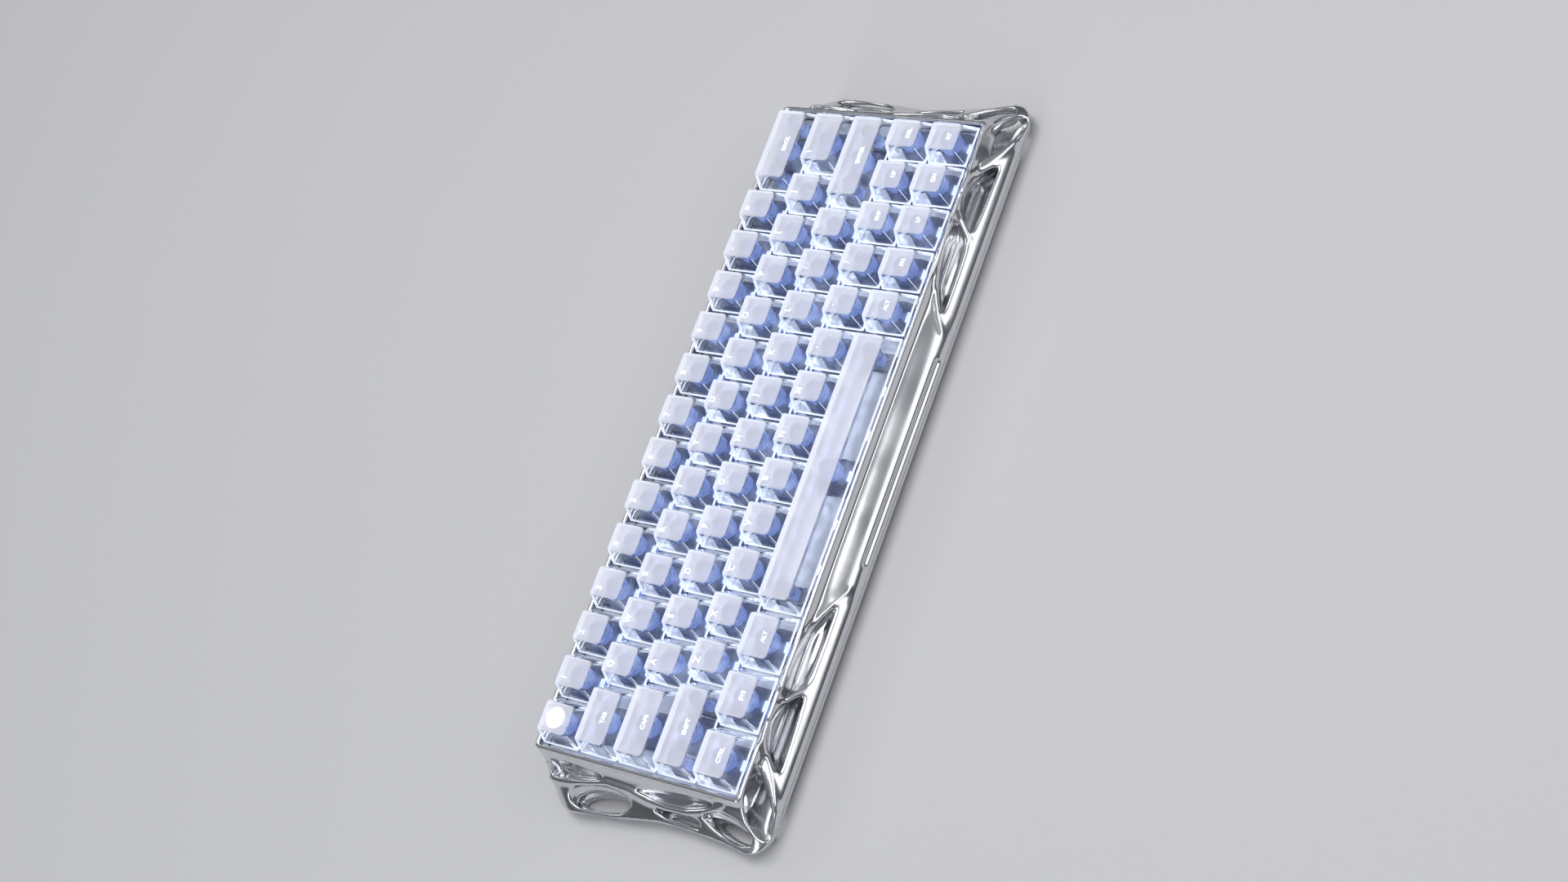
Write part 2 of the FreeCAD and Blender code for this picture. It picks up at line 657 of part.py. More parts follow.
def deck_cutters():
    shapes = []
    for place, pockets in ((from_front_corner, FRONT_POCKETS), (from_end, END_RECESSES)):
        for tip_a, tip_b, left, right, depth in pockets:
            shapes.append(to_deck(leaf(place(tip_a), place(tip_b), left, right, -depth, CUT_OVERRUN)))
    return both_sides(shapes)


def slot_cutters(z0, z1):
    shapes = []
    for place, slots in ((from_end, END_SLOTS), (from_front_corner, CORNER_SLOTS)):
        for tip_a, tip_b, left, right in slots:
            shapes.append(to_floor(leaf(place(tip_a), place(tip_b), left, right, z0, z1)))
    return both_sides(shapes)


def rear_cutters():
    shapes = []
    for x0, x1, height, half, depth in REAR_POCKETS:
        lens = leaf((x0, height), (x1, height), half, half, 0, depth + CUT_OVERRUN)
        lens.Placement = Placement(Vector(0, REAR_EDGE - depth, 0), Rotation(Vector(1, 0, 0), -90))
        shapes.append(to_floor(mirror_z(lens)))
    return shapes


def rear_stadium(x, z, length, width, y_inner, y_outer):
    solid = stadium(length, width, 0, y_outer - y_inner)
    solid.Placement = Placement(Vector(x, y_outer, z), Rotation(Vector(1, 0, 0), 90))
    return to_floor(solid)


def front_groove():
    reach = BOLSTER_GROOVE_HALF_LENGTH
    y = BOLSTER_GROOVE_INSET - FRONT_EDGE
    path = Part.makeCylinder(BOLSTER_GROOVE_RADIUS, 2 * reach, Vector(-reach, y, BOLSTER_GROOVE_HEIGHT),
                             Vector(1, 0, 0))
    ends = [Part.makeSphere(BOLSTER_GROOVE_RADIUS, Vector(x, y, BOLSTER_GROOVE_HEIGHT))
            for x in (-reach, reach)]
    return to_floor(path.fuse(ends))


def cavity():
    """Well for the keys and the switch plate, then the ledge, then the room down to the bottom plate."""
    ledge_bottom = board_bottom - BOARD_SPACE
    upper = box(-WELL_HALF_X, WELL_HALF_X, -WELL_HALF_Y, WELL_HALF_Y, ledge_top, CUT_OVERRUN)
    middle = box(-LEDGE_HALF_X, LEDGE_HALF_X, -LEDGE_HALF_Y, LEDGE_HALF_Y, ledge_bottom, ledge_top)
    floor_x = LEDGE_HALF_X - FLOOR_END_INSET
    lower = box(-floor_x, floor_x, FLOOR_FRONT_INSET - LEDGE_HALF_Y, LEDGE_HALF_Y - FLOOR_REAR_INSET,
                -DECK_HEIGHT - CUT_OVERRUN, ledge_bottom)
    return to_deck(upper.fuse([middle, lower]))


def rear_screw_places():
    y = REAR_EDGE - SCREW_REAR_INSET
    return [(side * x, y) for x in (CASE_HALF_LENGTH - REAR_SCREW_FROM_END, REAR_INNER_SCREW_X)
            for side in (-1, 1)]


def front_screw_places():
    y = SCREW_FRONT_INSET - FRONT_EDGE
    return [(side * x, y) for x in (CASE_HALF_LENGTH - FRONT_SCREW_FROM_END, FRONT_INNER_SCREW_X)
            for side in (-1, 1)]


def screw_posts(grow):
    """Blocks on the rear wall for the screws that stand clear of it."""
    half = SCREW_POST_HALF + grow
    return [to_floor(box(x - half, x + half, y - half, REAR_EDGE - SCREW_POST_REAR_INSET, SKIRT_LOW,
                         SKIRT_LOW + SCREW_POST_HEIGHT))
            for x, y in rear_screw_places() if abs(x) < LEDGE_HALF_X]


def case_frame():
    body = case_body().cut(cavity()).fuse(screw_posts(0))
    cutters = deck_cutters() + slot_cutters(-CUT_OVERRUN, 2 * DECK_HEIGHT) + rear_cutters()
    cutters.append(front_groove())
    outside = REAR_EDGE + CUT_OVERRUN
    room_front = REAR_EDGE - USB_ROOM_DEPTH
    cutters.append(rear_stadium(USB_X, USB_HEIGHT, USB_RECESS_LENGTH, USB_RECESS_HEIGHT,
                                REAR_EDGE - USB_RECESS_DEPTH, outside))
    cutters.append(rear_stadium(USB_X, USB_HEIGHT, USB_WIDTH + 2 * USB_HOLE_CLEARANCE,
                                USB_THICKNESS + 2 * USB_HOLE_CLEARANCE, room_front, outside))
    room_x = USB_BOARD_X / 2.0 + EDGE_CLEARANCE
    room_rear = usb_board_rear() + EDGE_CLEARANCE
    cutters.append(to_floor(box(USB_X - room_x, USB_X + room_x, room_front, room_rear,
                                SKIRT_LOW - CUT_OVERRUN,
                                USB_HEIGHT + USB_THICKNESS / 2.0 + EDGE_CLEARANCE)))
    cutters.append(rear_stadium(INSERT_X, USB_HEIGHT, INSERT_LENGTH + 2 * FIT_CLEARANCE,
                                INSERT_HEIGHT + 2 * FIT_CLEARANCE, insert_inner_end(), outside))
    for x, y in rear_screw_places() + front_screw_places():
        cutters.append(to_floor(Part.makeCylinder(SCREW_RADIUS, SCREW_LENGTH, Vector(x, y, 0))))
    return body.cut(Part.makeCompound(cutters))


GROOVES = (((-144.0, 33.0), (-102.0, 19.0), (-60.0, 2.0), (-86.0, -14.0), (-128.0, -34.0)),
           ((-108.0, 43.0), (-104.0, 32.0), (-76.0, 21.0), (-36.0, 9.0), (12.0, 15.0), (96.0, 31.0),
            (108.0, 43.0)),
           ((-96.0, -29.0), (-11.0, 3.0), (84.0, 24.0)),
           ((-94.0, -39.0), (-33.0, -25.0), (33.0, -9.0), (139.0, 33.0)),
           ((145.0, -40.0), (77.0, -5.0), (139.0, 26.0)))


def groove_cutters():
    """Shallow troughs along straight runs. Each runs on a little past its ends, over the next one."""
    shapes = []
    steep = GROOVE_DEPTH / GROOVE_HALF_WIDTH
    below = CUT_OVERRUN * steep
    reach = GROOVE_HALF_WIDTH + CUT_OVERRUN
    for route in GROOVES:
        for (x0, y0), (x1, y1) in zip(route, route[1:]):
            length = math.hypot(x1 - x0, y1 - y0)
            section = [Vector(0, -reach, -below), Vector(0, reach, -below), Vector(0, 0, GROOVE_DEPTH)]
            trough = Part.Face(polygon_wire(section)).extrude(Vector(length + 2 * GROOVE_OVERLAP, 0, 0))
            trough.translate(Vector(-GROOVE_OVERLAP, 0, 0))
            heading = math.degrees(math.atan2(y1 - y0, x1 - x0))
            trough.Placement = Placement(Vector(x0, y0, PLATE_UNDERSIDE),
                                         Rotation(Vector(0, 0, 1), heading)).multiply(trough.Placement)
            shapes.append(to_floor(trough))
    return shapes


def foot_places():
    places = ((CASE_HALF_LENGTH - REAR_FOOT_FROM_END, REAR_EDGE - FOOT_REAR_INSET),
              (CASE_HALF_LENGTH - FRONT_FOOT_FROM_END, FOOT_FRONT_INSET - FRONT_EDGE))
    return [(side * x, y) for x, y in places for side in (-1, 1)]


def bottom_plate():
    levels = ((BOTTOM_INSET, PLATE_UNDERSIDE), (BOTTOM_EDGE_INSET, PLATE_UNDERSIDE + BOTTOM_EDGE_RISE),
              (SKIRT_LOW_INSET + PARTING_INSET, SKIRT_LOW))
    plate = Part.makeLoft([skirt_section(inset, inset, inset, z) for inset, z in levels], True, True)
    cutters = slot_cutters(-CUT_OVERRUN, SKIRT_LOW + CUT_OVERRUN)
    for x, y in rear_screw_places() + front_screw_places():
        cutters.append(to_floor(Part.makeCylinder(SCREW_RADIUS + SCREW_CLEARANCE, SKIRT_LOW + CUT_OVERRUN,
                                                  Vector(x, y, 0))))
        cutters.append(to_floor(Part.makeCylinder(SCREW_HEAD_RADIUS + SCREW_CLEARANCE,
                                                  PLATE_UNDERSIDE + SCREW_HEAD_HEIGHT, Vector(x, y, 0))))
    for x, y in foot_places():
        recess = stadium(FOOT_LENGTH + 2 * FOOT_CLEARANCE, FOOT_WIDTH + 2 * FOOT_CLEARANCE, -CUT_OVERRUN,
                         PLATE_UNDERSIDE + FOOT_RECESS)
        recess.translate(Vector(x, y, 0))
        cutters.append(to_floor(recess))
    plate = plate.cut(Part.makeCompound(cutters + groove_cutters()))
    posts = []
    middle_y = usb_board_rear() - USB_BOARD_Y / 2.0
    from_middle = USB_BOARD_X / 2.0 - USB_POST_INSET
    for x in (USB_X - from_middle, USB_X + from_middle):
        posts.append(to_floor(many_sided(x, middle_y, USB_POST_RADIUS, 12, PLATE_UNDERSIDE + FOOT_RECESS,
                                         usb_board_bottom())))
    return plate.fuse(posts)


def usb_board_bottom():
    return USB_HEIGHT - USB_THICKNESS / 2.0 - BOARD_THICKNESS


def usb_board_rear():
    return REAR_EDGE - USB_RECESS_DEPTH - USB_WALL - EDGE_CLEARANCE


def usb_outer_end():
    return REAR_EDGE - USB_RECESS_DEPTH - USB_SET_BACK


def insert_inner_end():
    return REAR_EDGE - INSERT_DEPTH - INSERT_SEAT


def usb_board():
    bottom = usb_board_bottom()
    rear = usb_board_rear()
    return to_floor(box(USB_X - USB_BOARD_X / 2, USB_X + USB_BOARD_X / 2, rear - USB_BOARD_Y, rear,
                        bottom, bottom + BOARD_THICKNESS))


def usb_socket():
    outer = usb_outer_end()
    inner = outer - USB_DEPTH
    shell = rear_stadium(USB_X, USB_HEIGHT, USB_WIDTH, USB_THICKNESS, inner, outer)
    hollow = rear_stadium(USB_X, USB_HEIGHT, USB_WIDTH - 2 * USB_SHELL, USB_THICKNESS - 2 * USB_SHELL,
                          inner + USB_BACK_WALL, outer + CUT_OVERRUN)
    half_width = USB_TONGUE_WIDTH / 2.0
    half_thickness = USB_TONGUE_THICKNESS / 2.0
    tongue = to_floor(box(USB_X - half_width, USB_X + half_width, inner + USB_BACK_WALL / 2.0,
                          outer - USB_TONGUE_SET_BACK, USB_HEIGHT - half_thickness,
                          USB_HEIGHT + half_thickness))
    return shell.cut(hollow).fuse(tongue)


def flat_cable():
    """Flat cable from the USB board up to the underside of the circuit board."""
    board = usb_board_rear() - USB_BOARD_Y
    low = usb_board_bottom() + BOARD_THICKNESS
    under = deck_place.multVec(Vector(0, board - CABLE_REACH, board_bottom))
    y0 = board + CABLE_LAP + case_centre_shift
    y1 = under.y
    z1 = under.z - CABLE_GAP
    thick = CABLE_THICKNESS
    outline = [(y0, low), (y0, low + thick), (y0 - CABLE_RISE, low + thick), (y1 + thick, z1), (y1, z1),
               (y0 - CABLE_RISE - thick, low)]
    face = Part.Face(polygon_wire([Vector(USB_X - CABLE_WIDTH / 2.0, y, z) for y, z in outline]))
    return face.extrude(Vector(CABLE_WIDTH, 0, 0))


def case_screws():
    solids = []
    for x, y in rear_screw_places() + front_screw_places():
        head = many_sided(x, y, SCREW_HEAD_RADIUS, 16, PLATE_UNDERSIDE, PLATE_UNDERSIDE + SCREW_HEAD_HEIGHT)
        shank = many_sided(x, y, SCREW_RADIUS - SCREW_THREAD_CLEARANCE, 16, PLATE_UNDERSIDE,
                           SCREW_LENGTH - SCREW_TIP_ROOM)
        socket = many_sided(x, y, SCREW_SOCKET / math.sqrt(3), 6, PLATE_UNDERSIDE - CUT_OVERRUN,
                            PLATE_UNDERSIDE + SCREW_SOCKET_DEPTH)
        solids.append(to_floor(head.fuse(shank).cut(socket)))
    return solids


def rubber_feet():
    solids = []
    for x, y in foot_places():
        foot = stadium(FOOT_LENGTH, FOOT_WIDTH, 0, PLATE_UNDERSIDE + FOOT_RECESS)
        foot.translate(Vector(x, y, 0))
        solids.append(to_floor(foot))
    return solids


def rear_insert():
    inner = insert_inner_end()
    return rear_stadium(INSERT_X, USB_HEIGHT, INSERT_LENGTH, INSERT_HEIGHT, inner, inner + INSERT_THICKNESS)


def case_foam():
    """Sheet on the bottom plate, cut out round the screw posts and the USB board."""
    half_x = LEDGE_HALF_X - FOAM_END_ROOM
    wall = deck_place.multVec(Vector(0, LEDGE_HALF_Y - FLOOR_REAR_INSET, board_bottom))
    rear = wall.y - case_centre_shift - FOAM_REAR_ROOM
    top = SKIRT_LOW + FOAM_THICKNESS
    sheet = to_floor(box(-half_x, half_x, FOAM_FRONT, rear, SKIRT_LOW, top))
    room_x = USB_X + USB_BOARD_X / 2.0 + FOAM_CLEARANCE
    notch = to_floor(box(-LEDGE_HALF_X, room_x, usb_board_rear() - USB_BOARD_Y - FOAM_CLEARANCE, REAR_EDGE,
                         SKIRT_LOW, top))
    return sheet.cut(Part.makeCompound([notch] + screw_posts(FOAM_CLEARANCE)))


def backlight_leds(keys):
    solids = []
    half_x = LED_X / 2.0
    half_y = LED_Y / 2.0
    for row_number, name, width, x, y in keys:
        middle = y - LED_OFFSET
        solids.append(box(x - half_x, x + half_x, middle - half_y, middle + half_y, board_top,
                          board_top + LED_HEIGHT))
    return solids


def export(name, solids):
    shape = solids[0] if len(solids) == 1 else Part.makeCompound(solids)
    shape.exportStep("parts/" + name + ".step")


def main():
    os.makedirs("parts", exist_ok=True)
    keys = placed_keys()
    shapes = {}
    for kind in sorted({(key[1] if key[1] in STABILIZED else "", key[2]) for key in keys}):
        shapes[kind] = key_solids(*kind)
    for node, members in key_groups(keys):
        solids = []
        for row_number, name, width, x, y in members:
            for solid in shapes[(name if name in STABILIZED else "", width)]:
                moved = solid.copy()
                moved.translate(Vector(x, y, 0))
                solids.append(to_deck(moved))
        export(node, solids)
    housing = switch_housing()
    housings = []
    stab_housings = []
    for row_number, name, width, x, y in keys:
        moved = housing.copy()
        moved.translate(Vector(x, y, 0))
        housings.append(to_deck(moved))
        if name in STABILIZED:
            spread, side = STABILIZED[name]
            for place in (-spread, spread):
                solid = stab_housing(place, side)
                solid.translate(Vector(x, y, 0))
                stab_housings.append(to_deck(solid))
            wire = stab_wire(spread, side)
            wire.translate(Vector(x, y, 0))
            export("wire_" + name, [to_deck(wire)])
    export("switch_housings", housings)
    export("stabilizer_housings", stab_housings)
    export("switch_plate", [to_deck(switch_plate(keys))])
    export("circuit_board", [circuit_board()])
    export("backlight_leds", [to_deck(solid) for solid in backlight_leds(keys)])
    export("gasket_strips", [to_deck(solid) for solid in gasket_strips()])
    export("case_frame", [case_frame()])
    export("bottom_plate", [bottom_plate()])
    export("case_screws", case_screws())
    export("rubber_feet", rubber_feet())
    export("rear_insert", [rear_insert()])
    export("usb_socket", [usb_socket()])
    export("usb_board", [usb_board()])
    export("flat_cable", [flat_cable()])
    export("case_foam", [case_foam()])


main()
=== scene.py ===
"""Looks of a compact mechanical keyboard with a sculpted metal case and clear keycaps.

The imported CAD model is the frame. Each operator dresses one piece or one group of like pieces.
"""

import math
from typing import NamedTuple

import bmesh
import bpy
import numpy as np
from bpy.props import FloatProperty, FloatVectorProperty, IntProperty, PointerProperty
from mathutils import Matrix, Vector


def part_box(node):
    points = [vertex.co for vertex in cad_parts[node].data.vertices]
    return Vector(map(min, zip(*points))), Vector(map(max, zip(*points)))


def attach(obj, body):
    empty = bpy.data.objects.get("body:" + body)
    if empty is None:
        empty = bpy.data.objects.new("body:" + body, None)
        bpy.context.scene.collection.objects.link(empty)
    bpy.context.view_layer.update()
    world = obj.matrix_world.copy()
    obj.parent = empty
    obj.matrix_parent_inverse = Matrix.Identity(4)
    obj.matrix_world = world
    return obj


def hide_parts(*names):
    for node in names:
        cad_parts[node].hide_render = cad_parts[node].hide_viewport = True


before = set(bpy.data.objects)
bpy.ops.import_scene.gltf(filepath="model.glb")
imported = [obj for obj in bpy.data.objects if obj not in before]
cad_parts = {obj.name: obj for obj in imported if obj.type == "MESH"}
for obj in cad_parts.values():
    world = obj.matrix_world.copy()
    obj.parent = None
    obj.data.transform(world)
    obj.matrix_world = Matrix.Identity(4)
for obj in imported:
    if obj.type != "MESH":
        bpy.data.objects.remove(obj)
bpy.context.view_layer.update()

bl_info = {
    "name": "Clear-cap keyboard looks",
    "version": (1, 0, 0),
    "blender": (4, 5, 0),
    "location": "3D View > Sidebar > Keyboard",
    "description": "Dresses the packed keyboard with its sculpted case, clear keycaps and finishes",
    "category": "Object",
}

MM = 0.001

# Places of the keyboard, in millimetres, from the same named values as its solids
DECK_TILT = math.radians(6.0)
DECK_HEIGHT = 25.5
DECK_SHIFT = 4.05
KEY_PITCH = 19.05
KEY_GAP = 0.95
WELL_X, WELL_Y = 143.475, 48.225
RIM_X, RIM_Y = 145.225, 49.975
RIM_DEPTH = 9.0
LEDGE_X, LEDGE_Y = 141.275, 46.025
LEDGE_DEPTH = 10.2
PLATE_TOP = -7.2
SWITCH_TOP = -0.6
CAP_BASE = -1.0
CAP_HEIGHT = 8.0
PARTING_HEIGHT = 5.0
WIDEST_HEIGHT = 7.2
END_WAVE = ((-50.1, 160.8), (-37.4, 158.84), (-17.5, 157.68), (-3.0, 157.85), (16.9, 160.65), (40.5, 163.0))
# The keys of each row from the rear, with the width in units of those that are wider than one, and the
# legends that differ from the key's name in capitals
ROWS = (
    "escape 1 2 3 4 5 6 7 8 9 0 minus equals backspace:2",
    "tab:1.5 q w e r t y u i o p left_bracket right_bracket backslash:1.5",
    "caps_lock:1.75 a s d f g h j k l semicolon quote enter:2.25",
    "left_shift:2 z x c v b n m comma period slash right_shift up delete",
    "control:1.25 system:1.25 alt:1.25 space:6.25 right_alt function left down right",
)
LEGENDS = {
    "escape": "", "minus": "-", "equals": "=", "backspace": "BACK", "left_bracket": "[",
    "right_bracket": "]", "backslash": "\\", "caps_lock": "CAPS", "semicolon": ";", "quote": "'",
    "left_shift": "SHIFT", "comma": ",", "period": ".", "slash": "/", "right_shift": "SHF", "delete": "DEL",
    "control": "CTRL", "system": "SYS", "space": "", "right_alt": "ALT", "function": "FN", "left": "LF",
    "down": "DN", "right": "RT",
}
ROW_UNITS = 15
STAB_SPREAD = {"backspace": 11.94, "enter": 11.94, "left_shift": 11.94, "space": 50.0}

# Pockets of the case, as outlines in the deck plane, for the half with x above zero
SEEN_DEPTH = 9.0
FRONT_POCKETS = (
    (((61, -55.6), (66, -52.4), (71, -49.6), (78, -47.2), (86, -46), (94, -45.6), (102.4, -45.8),
      (99, -50.2), (95, -54.4), (89.8, -55.2), (77, -55.6)), 5.5),
    (((104.8, -46.8), (112.5, -44.8), (120, -46.8), (125.2, -51.2), (130.4, -57.2), (122.4, -56.8),
      (110, -56.2), (97.6, -55.6), (101.4, -50.8)), 6.0),
    (((126, -44.6), (134, -44), (140.5, -44.8), (149, -49.6), (154.2, -56.5), (154.6, -62.6),
      (148.7, -62), (137.4, -55.6), (129.9, -48.2)), 6.8),
)
FRONT_RIDGES = (
    (((54.6, -58.2), (60, -53.6), (66, -50), (73, -47), (82, -45), (90, -44.4), (98, -44.6)), 0.75),
    (((103.6, -46.4), (99.5, -50.6), (95.6, -55.4)), 0.7),
    (((112, -44), (120.5, -45.8), (129, -51.8), (134.5, -56), (141, -60)), 1.0),
)
END_RECESSES = (
    (((147, 53), (146.6, 44), (146.8, 30), (147.6, 20.6), (149.6, 19), (151.8, 27), (153, 37),
      (152.6, 48)), 3.8),
    (((149.6, 5.4), (147.2, -8), (146.4, -26), (147, -35), (149.6, -31), (152, -22), (152.2, -11)), 3.8),
)
END_RIDGES = (
    (((152.6, 50), (154.2, 46), (154.4, 41), (153.8, 34), (152, 25), (150.2, 17), (150.6, 6), (152.4, -4),
      (153.2, -13), (152.8, -23), (150.4, -31), (146.8, -37)), 1.0),
)
END_SLOTS = (
    (((154.4, 8), (157.6, 14), (159.4, 24), (159.8, 34), (158.6, 39), (155.4, 37), (152.6, 29), (151.6, 18),
      (152.4, 11)), 1.1),
    (((153.4, -3), (155.2, -9), (155.8, -20), (155.6, -27), (154, -25), (153, -14)), 0.7),
    (((150.8, -29), (153.6, -33), (156.6, -42), (157.4, -51), (154.4, -52.5), (151.4, -46),
      (150.2, -37)), 1.2),
)
CORNER_SLOT = ((138, -54.2), (144, -53.6), (150.4, -54.8), (150.8, -57), (145, -57.4), (139, -56.4))
REAR_POCKETS = (
    (-109.0, -58.0, 14.0, 5.2, 3.4), (-66.0, -26.0, 18.0, 4.6, 3.0), (-18.0, 20.0, 16.0, 6.4, 4.0),
    (25.0, 53.0, 17.5, 4.8, 3.2), (47.0, 113.0, 12.8, 4.6, 2.8),
)
GROOVES = (
    ((-149, 46), (-148.6, 38), (-140, 32), (-102, 20), (-72, 7), (-60, 0), (-60, -4), (-85, -16),
     (-126, -35)),
    ((-113, 46), (-111, 42), (-104, 31), (-76, 20), (-36, 8), (12, 15), (60, 23), (96, 31), (111, 44)),
    ((-94, -28), (-50, -10), (-11, 3), (22, 9), (84, 26), (141, 43)),
    ((-94, -40), (-33, -25), (33, -9), (103, 17), (139, 35)),
    ((150, -50), (105, -28), (80, -8), (77, -5), (82, -2), (110, 13), (140, 30)),
)
SCREWS = tuple((side * x, y) for x, y in ((153.3, 43.0), (47.8, 43.0), (132.8, -51.8), (46.6, -51.8))
               for side in (-1, 1))
FEET = tuple((side * x, y) for x, y in ((131.0, 43.5), (109.5, -51.5)) for side in (-1, 1))
# Inset and height of each level of a foot, up its side and over the rib round its face
FOOT_LEVELS = ((0.0, 2.0), (0.0, 0.35), (0.12, 0.1), (0.4, 0.0), (0.9, 0.0), (1.1, 0.12), (1.5, 0.12))
USB_PLACE = (-133.0, 13.2)
INSERT_PLACE = (131.0, 13.2)
# Each seat of the rear wall: middle, half length, radius, depth, and how soft its floor and its edge are
REAR_SEATS = (
    (USB_PLACE, 9.0, 6.2, 0.9, 1.0, 0.7), (INSERT_PLACE, 8.5, 5.6, 0.7, 1.0, 0.7),
    (USB_PLACE, 4.0, 3.5, 1.6, 0.0, 0.5), (INSERT_PLACE, 5.5, 3.15, 1.4, 0.0, 0.5),
)

# Where the front, the ends and the rear of the case begin, and how the view that showed their pockets
# leans across and along the deck
FRONT_BEGINS, END_BEGINS, REAR_BEGINS, INLET_BEGINS = -34.0, 140.0, 45.0, 35.0
FRONT_LEAN, END_LEAN = (0.14, 0.652), (0.131, 0.739)
SKIRT_FRONT, FRONT_FLARE = -45.7, 9.85
SKIRT_REAR, REAR_FLARE = 53.9, 1.65
SKIRT_DROP = 3.4
CASE_HALF_DEPTH = 55.45
PLATE_FRONT, PLATE_REAR, PLATE_BOTTOM = -59.6, 51.5, 1.0

# Distances that stand for far away, for no form at all and for nothing measured yet
FAR, NO_FORM, UNREACHED = 8.0, 9.0, 1e9

# Boxes that the carved surfaces lie in, how far inside the ledge the case frame still has metal, how many
# layers of the grid are measured at once, and how the mesh is relaxed and kept from shrinking
CASE_LOW, CASE_HIGH = (-164.0, -56.6, 4.1), (164.0, 56.6, 31.8)
PLATE_LOW, PLATE_HIGH = (-163.2, -56.2, 0.2), (163.2, 56.2, 5.9)
FRAME_MARGIN = 2.5
SLAB = 12
PULL_TURNS, RELAX_TURNS, RELAX, SPREAD = 3, 8, 0.5, -0.52

SHARP_ANGLE = math.radians(35.0)


# Distances, used to carve the case


def smooth_max(a, b, k):
    blend = np.clip(0.5 + 0.5 * (a - b) / k, 0.0, 1.0)
    return b + (a - b) * blend + k * blend * (1.0 - blend)


def smooth_min(a, b, k):
    return -smooth_max(-a, -b, k)


def rounded_outline(corners, turns=2):
    """The outline with its corners cut, so that it reads as one drawn curve."""
    points = np.array(corners, float)
    for _ in range(turns):
        after = np.roll(points, -1, axis=0)
        points = np.stack((points * 0.75 + after * 0.25, points * 0.25 + after * 0.75), 1).reshape(-1, 2)
    return points


def smooth_route(route, steps=5):
    """A flowing line through the points of a route."""
    points = np.array(route, float)
    points = np.vstack((2 * points[0] - points[1], points, 2 * points[-1] - points[-2]))
    flowing = []
    for a, b, c, d in zip(points[:-3], points[1:-2], points[2:-1], points[3:]):
        for t in np.arange(steps) / steps:
            flowing.append(0.5 * (2 * b + (c - a) * t + (2 * a - 5 * b + 4 * c - d) * t ** 2
                                  + (3 * b - a - 3 * c + d) * t ** 3))
    return np.array(flowing + [points[-2]])


def from_line(u, v, a, b):
    """Squared distance to the straight line between two points of a plane."""
    (ax, ay), (bx, by) = a, b
    ex, ey = bx - ax, by - ay
    wx, wy = u - ax, v - ay
    along = np.clip((wx * ex + wy * ey) / (ex * ex + ey * ey), 0.0, 1.0)
    return (wx - ex * along) ** 2 + (wy - ey * along) ** 2


def route_distance(u, v, route):
    """Distance to an open line of points in a plane."""
    nearest = np.full(u.shape, UNREACHED)
    for a, b in zip(route[:-1], route[1:]):
        nearest = np.minimum(nearest, from_line(u, v, a, b))
    return np.sqrt(nearest)


def outline_distance(u, v, corners):
    """Distance to a closed rounded outline in a plane, below zero inside, and FAR wherever it is far."""
    outline = rounded_outline(corners)
    (u0, v0), (u1, v1) = outline.min(0) - FAR, outline.max(0) + FAR
    near = (u > u0) & (u < u1) & (v > v0) & (v < v1)
    away = np.full(u.shape, FAR)
    u, v = u[near], v[near]
    nearest = np.full(u.shape, UNREACHED)
    crossings = np.zeros(u.shape, bool)
    for (ax, ay), (bx, by) in zip(outline, np.roll(outline, -1, axis=0)):
        nearest = np.minimum(nearest, from_line(u, v, (ax, ay), (bx, by)))
        if ay != by:
            crossings ^= ((ay > v) != (by > v)) & (u < (bx - ax) * (v - ay) / (by - ay) + ax)
    away[near] = np.minimum(np.where(crossings, -1.0, 1.0) * np.sqrt(nearest), FAR)
    return away


def deck_coordinates(y, z):
    y, z = y - DECK_SHIFT, z - DECK_HEIGHT
    return (y * math.cos(DECK_TILT) + z * math.sin(DECK_TILT),
            z * math.cos(DECK_TILT) - y * math.sin(DECK_TILT))


def from_deck(x, y, z):
    return Vector((x, DECK_SHIFT + y * math.cos(DECK_TILT) - z * math.sin(DECK_TILT),
                   DECK_HEIGHT + y * math.sin(DECK_TILT) + z * math.cos(DECK_TILT)))


def end_reach(y):
    """How far the case's widest outline reaches along x, at a place from front to rear."""
    ys, xs = np.array(END_WAVE, float).T
    nodes = np.linspace(ys[0], ys[-1], 80)
    wave = np.interp(nodes, ys, xs)
    for _ in range(8):
        wave[1:-1] = (wave[:-2] + 2 * wave[1:-1] + wave[2:]) / 4
    return np.interp(y - DECK_SHIFT, nodes, wave)


def skin_distance(x, y, z, deck_y, deck_z):
    """Distance to the case's outer form without its pockets."""
    rim_bottom = DECK_HEIGHT + (y - DECK_SHIFT) * math.tan(DECK_TILT) - SKIRT_DROP
    down = np.clip((rim_bottom - z) / (rim_bottom - WIDEST_HEIGHT), 0.0, 1.0)
    under = np.clip((WIDEST_HEIGHT - z) / (WIDEST_HEIGHT - PARTING_HEIGHT), 0.0, 1.0) ** 2
    middle = np.clip(1.0 - (np.abs(x) / 62.0) ** 4, 0.0, 1.0)
    front = SKIRT_FRONT - FRONT_FLARE * (1.0 - (1.0 - down) ** (1.7 + 0.9 * middle)) + 0.7 * under
    rear = SKIRT_REAR + REAR_FLARE * (1.0 - (1.0 - down) ** 2) - 0.6 * under
    end = RIM_X + (end_reach(y) - RIM_X) * (0.86 * down + 0.14 * down * down) - 0.7 * under
    skirt = smooth_max(front - y, np.abs(x) - end, 3.0 + 8.5 * down)
    skirt = smooth_max(skirt, y - rear, 3.0 + 10.0 * down)
    skirt = smooth_max(skirt, z - rim_bottom, 1.5)
    rim = smooth_max(np.abs(x) - RIM_X, np.abs(deck_y) - RIM_Y, 2.4)
    rim = smooth_max(rim, deck_z, 0.45)
    rim = smooth_max(rim, -RIM_DEPTH - deck_z, 2.0)
    return smooth_max(smooth_min(skirt, rim, 3.2), PARTING_HEIGHT - z, 0.5)


